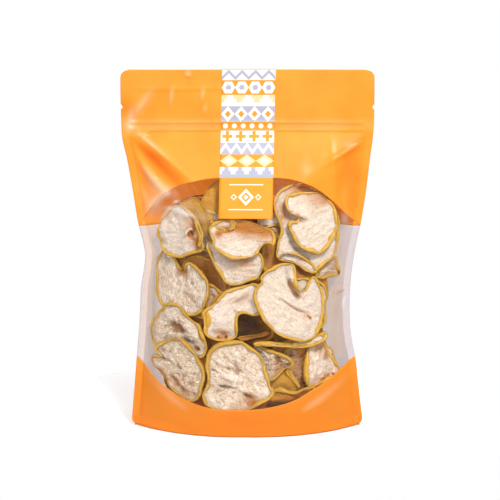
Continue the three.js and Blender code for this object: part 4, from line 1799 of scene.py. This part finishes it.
# Loose slices fill the rest of the bag: behind the ones above, and against the back film. A layer lies at
# a share of the way from the front film to the back film and some mm off from there. It faces one side, and
# keeps some mm of room to both films. Only the last layer keeps to the films' fine form
heap = {
    "seed": 11,
    "rows": (24, 52, 80, 108, 135),
    "perRow": 3,
    "across": 112.0,
    "reach": 59.0,
    "shift": 8,
    "jitterAcross": 5,
    "jitterUp": 6,
    "lean": 12,
    "slopeStep": 5.0,
    "followsSlope": 0.8,
    "spacing": 1.7,
    "pieces": {
        # each layer's painted shade darkens its slices, so the heap looks dark between the front slices
        "pear_slices_middle": [
            {"share": 0.0, "off": 19.0, "side": -1, "room": 13.0, "fine": False,
             "size": (19, 25), "raised": 0, "paintedShade": 0.56},
            {"share": 0.42, "off": 0.0, "side": -1, "room": 17.0, "fine": False,
             "size": (22, 28), "raised": 5, "paintedShade": 0.62},
            {"share": 0.68, "off": 0.0, "side": 1, "room": 9.0, "fine": False,
             "size": (22, 27), "raised": 0, "paintedShade": 0.4},
        ],
        "pear_slices_back": [
            {"share": 1.0, "off": -10.0, "side": 1, "room": 4.0, "fine": False,
             "size": (20, 25), "raised": 5, "paintedShade": 0.1},
            {"share": 1.0, "off": -3.6, "side": 1, "room": 0.8, "fine": True,
             "size": (16, 20), "raised": 0, "paintedShade": 0.0},
        ],
    },
}


def looseOutline(draw, size):
    lobe = draw.uniform(0.06, 0.16)
    notch = draw.uniform(0.0, 0.3)
    notchWide = draw.uniform(0.16, 0.3)
    phase = draw.uniform(0, 6.28)
    points = []
    steps = 28
    for i in range(steps):
        angle = 2 * math.pi * i / steps
        radius = 1 + lobe * math.cos(angle) + 0.05 * math.cos(2 * angle + phase)
        radius += 0.035 * math.cos(5 * angle + phase * 2)
        away = min(angle, 2 * math.pi - angle)
        radius -= notch * math.exp(-(away / notchWide) ** 2)
        points.append(Vector((math.cos(angle), math.sin(angle))) * radius * size)
    return points


# turns a slice so that it faces out of the layer's side, leaning a little at random
def looseTurn(draw, centre, side):
    spin = math.radians(draw.uniform(0, 360))
    lean = math.radians(draw.uniform(-heap["lean"], heap["lean"]))
    swing = math.radians(draw.uniform(-heap["lean"], heap["lean"]))
    slope = slopeAcross(centre.x, centre.z, side, heap["slopeStep"])
    normal = Vector((-slope * side * heap["followsSlope"], side, 0.0)).normalized()
    across = normal.cross(Vector((0.0, 0.0, 1.0))).normalized() * -1
    turn = Matrix((across, normal.cross(across), normal)).transposed()
    for angle, axis in ((lean, "X"), (swing, "Y"), (spin, "Z")):
        turn = turn @ Matrix.Rotation(angle, 3, axis)
    return turn


def addLooseSlice(bm, layers, draw, centre, layer, size):
    turn = looseTurn(draw, centre, layer["side"])
    settings = {
        "seed": draw.uniform(40, 200),
        "dry": draw.uniform(0.15, 0.9),
        "cup": draw.uniform(-1.5, 1.8),
        "saddle": draw.uniform(0.6, 3.0),
        "saddleTurn": draw.uniform(0, 180),
        "wavy": draw.uniform(1.2, 3.0),
        "fibreTurn": draw.uniform(0, 180),
        "bead": draw.uniform(0.85, 1.15),
        "stainsAndShade": [
            (draw.uniform(-12, 12), draw.uniform(-12, 12), draw.uniform(2, 5), draw.uniform(0.1, 0.8)),
            # painted shade over the whole slice
            (0.0, 0.0, 60.0, layer["paintedShade"]),  # over the whole slice
        ],
    }
    outline = looseOutline(draw, size)
    outline = closedCurve(outline, max(fewestPoints, int(perimeter(outline) / heap["spacing"])))

    def place(a, b, height, top):
        flat = centre + turn @ Vector((a, b, height))
        upper = centre + turn @ Vector((a, b, top))
        return keptInside(flat, upper, layer["room"], layer["fine"])

    addSlice(bm, layers, settings, outline, plainRings, place)


def fillHeap():
    draw = random.Random(heap["seed"])
    for name, heapLayers in heap["pieces"].items():
        bm, layers = startFruit()
        for layer in heapLayers:
            for z in heap["rows"]:
                shift = draw.uniform(-heap["shift"], heap["shift"])
                for i in range(heap["perRow"]):
                    size = draw.uniform(*layer["size"])
                    x = ((i + 0.5) / heap["perRow"] - 0.5) * heap["across"] + shift
                    x += draw.uniform(-heap["jitterAcross"], heap["jitterAcross"])
                    x = clamp(x, size - heap["reach"], heap["reach"] - size)
                    high = z + draw.uniform(-heap["jitterUp"], heap["jitterUp"]) + layer["raised"]
                    front = filmY(x, high, -1, False)
                    y = mix(front, filmY(x, high, 1, False), layer["share"]) + layer["off"]
                    addLooseSlice(bm, layers, draw, Vector((x, y, high)), layer, size)
        finishFruit(name, bm)


fillHeap()


# Stage, in metres: a white floor, and soft light from both sides and above. Lamps have a place, width,
# height and power
studio = {
    "floorRadius": 0.19,
    "floorDrop": 0.0004,
    "floor": grey(0.9),
    "floorRough": 0.9,
    "ambient": 0.34,
    "aim": (0.0, 0.0, 0.13),
    "lamps": [
        ("lamp_key", (0.34, -0.82, 1.08), 0.3, 0.28, 18.0),
        ("lamp_left", (-0.9, -0.7, 0.5), 0.14, 0.6, 2.0),
        ("lamp_right", (0.62, -0.42, 0.4), 0.2, 0.4, 0.9),
        ("lamp_front", (-0.2, -1.1, 0.3), 0.9, 0.5, 4.2),
        ("lamp_back", (-0.55, 0.8, 0.7), 0.5, 0.4, 11.0),
    ],
}


def makeStage():
    bm = bmesh.new()
    bmesh.ops.create_circle(bm, cap_ends=True, segments=64, radius=studio["floorRadius"])
    mesh = bpy.data.meshes.new("floor")
    bm.to_mesh(mesh)
    bm.free()
    floor = bpy.data.objects.new("floor", mesh)
    floor.location = (0.0, 0.0, -studio["floorDrop"])
    bpy.context.scene.collection.objects.link(floor)
    material, tree = nodesOf("floor")
    shader = add(tree, "ShaderNodeBsdfPrincipled", {
        "Base Color": studio["floor"], "Roughness": studio["floorRough"], "Specular IOR Level": 0.0,
    })
    output(tree, shader.outputs[0])
    mesh.materials.append(material)


def makeLamps():
    aim = Vector(studio["aim"])
    for name, place, wide, high, power in studio["lamps"]:
        data = bpy.data.lights.new(name, "AREA")
        data.shape = "RECTANGLE"
        data.size = wide
        data.size_y = high
        data.energy = power
        lamp = bpy.data.objects.new(name, data)
        lamp.location = place
        lamp.rotation_euler = (aim - Vector(place)).to_track_quat("-Z", "Y").to_euler()
        bpy.context.scene.collection.objects.link(lamp)


# the background shows as white, and lights the object less than that
def makeWorld():
    world = bpy.data.worlds.new("studio")
    world.use_nodes = True
    tree = world.node_tree
    background = tree.nodes["Background"]
    background.inputs["Color"].default_value = grey(1.0)
    path = tree.nodes.new("ShaderNodeLightPath")
    strength = add(tree, "ShaderNodeMapRange", {
        "Value": path.outputs["Is Camera Ray"], "To Min": studio["ambient"], "To Max": 1.0,
    })
    tree.links.new(strength.outputs["Result"], background.inputs["Strength"])
    bpy.context.scene.world = world
    bpy.context.scene.view_settings.view_transform = "Standard"


makeStage()
makeLamps()
makeWorld()
print("stage made")
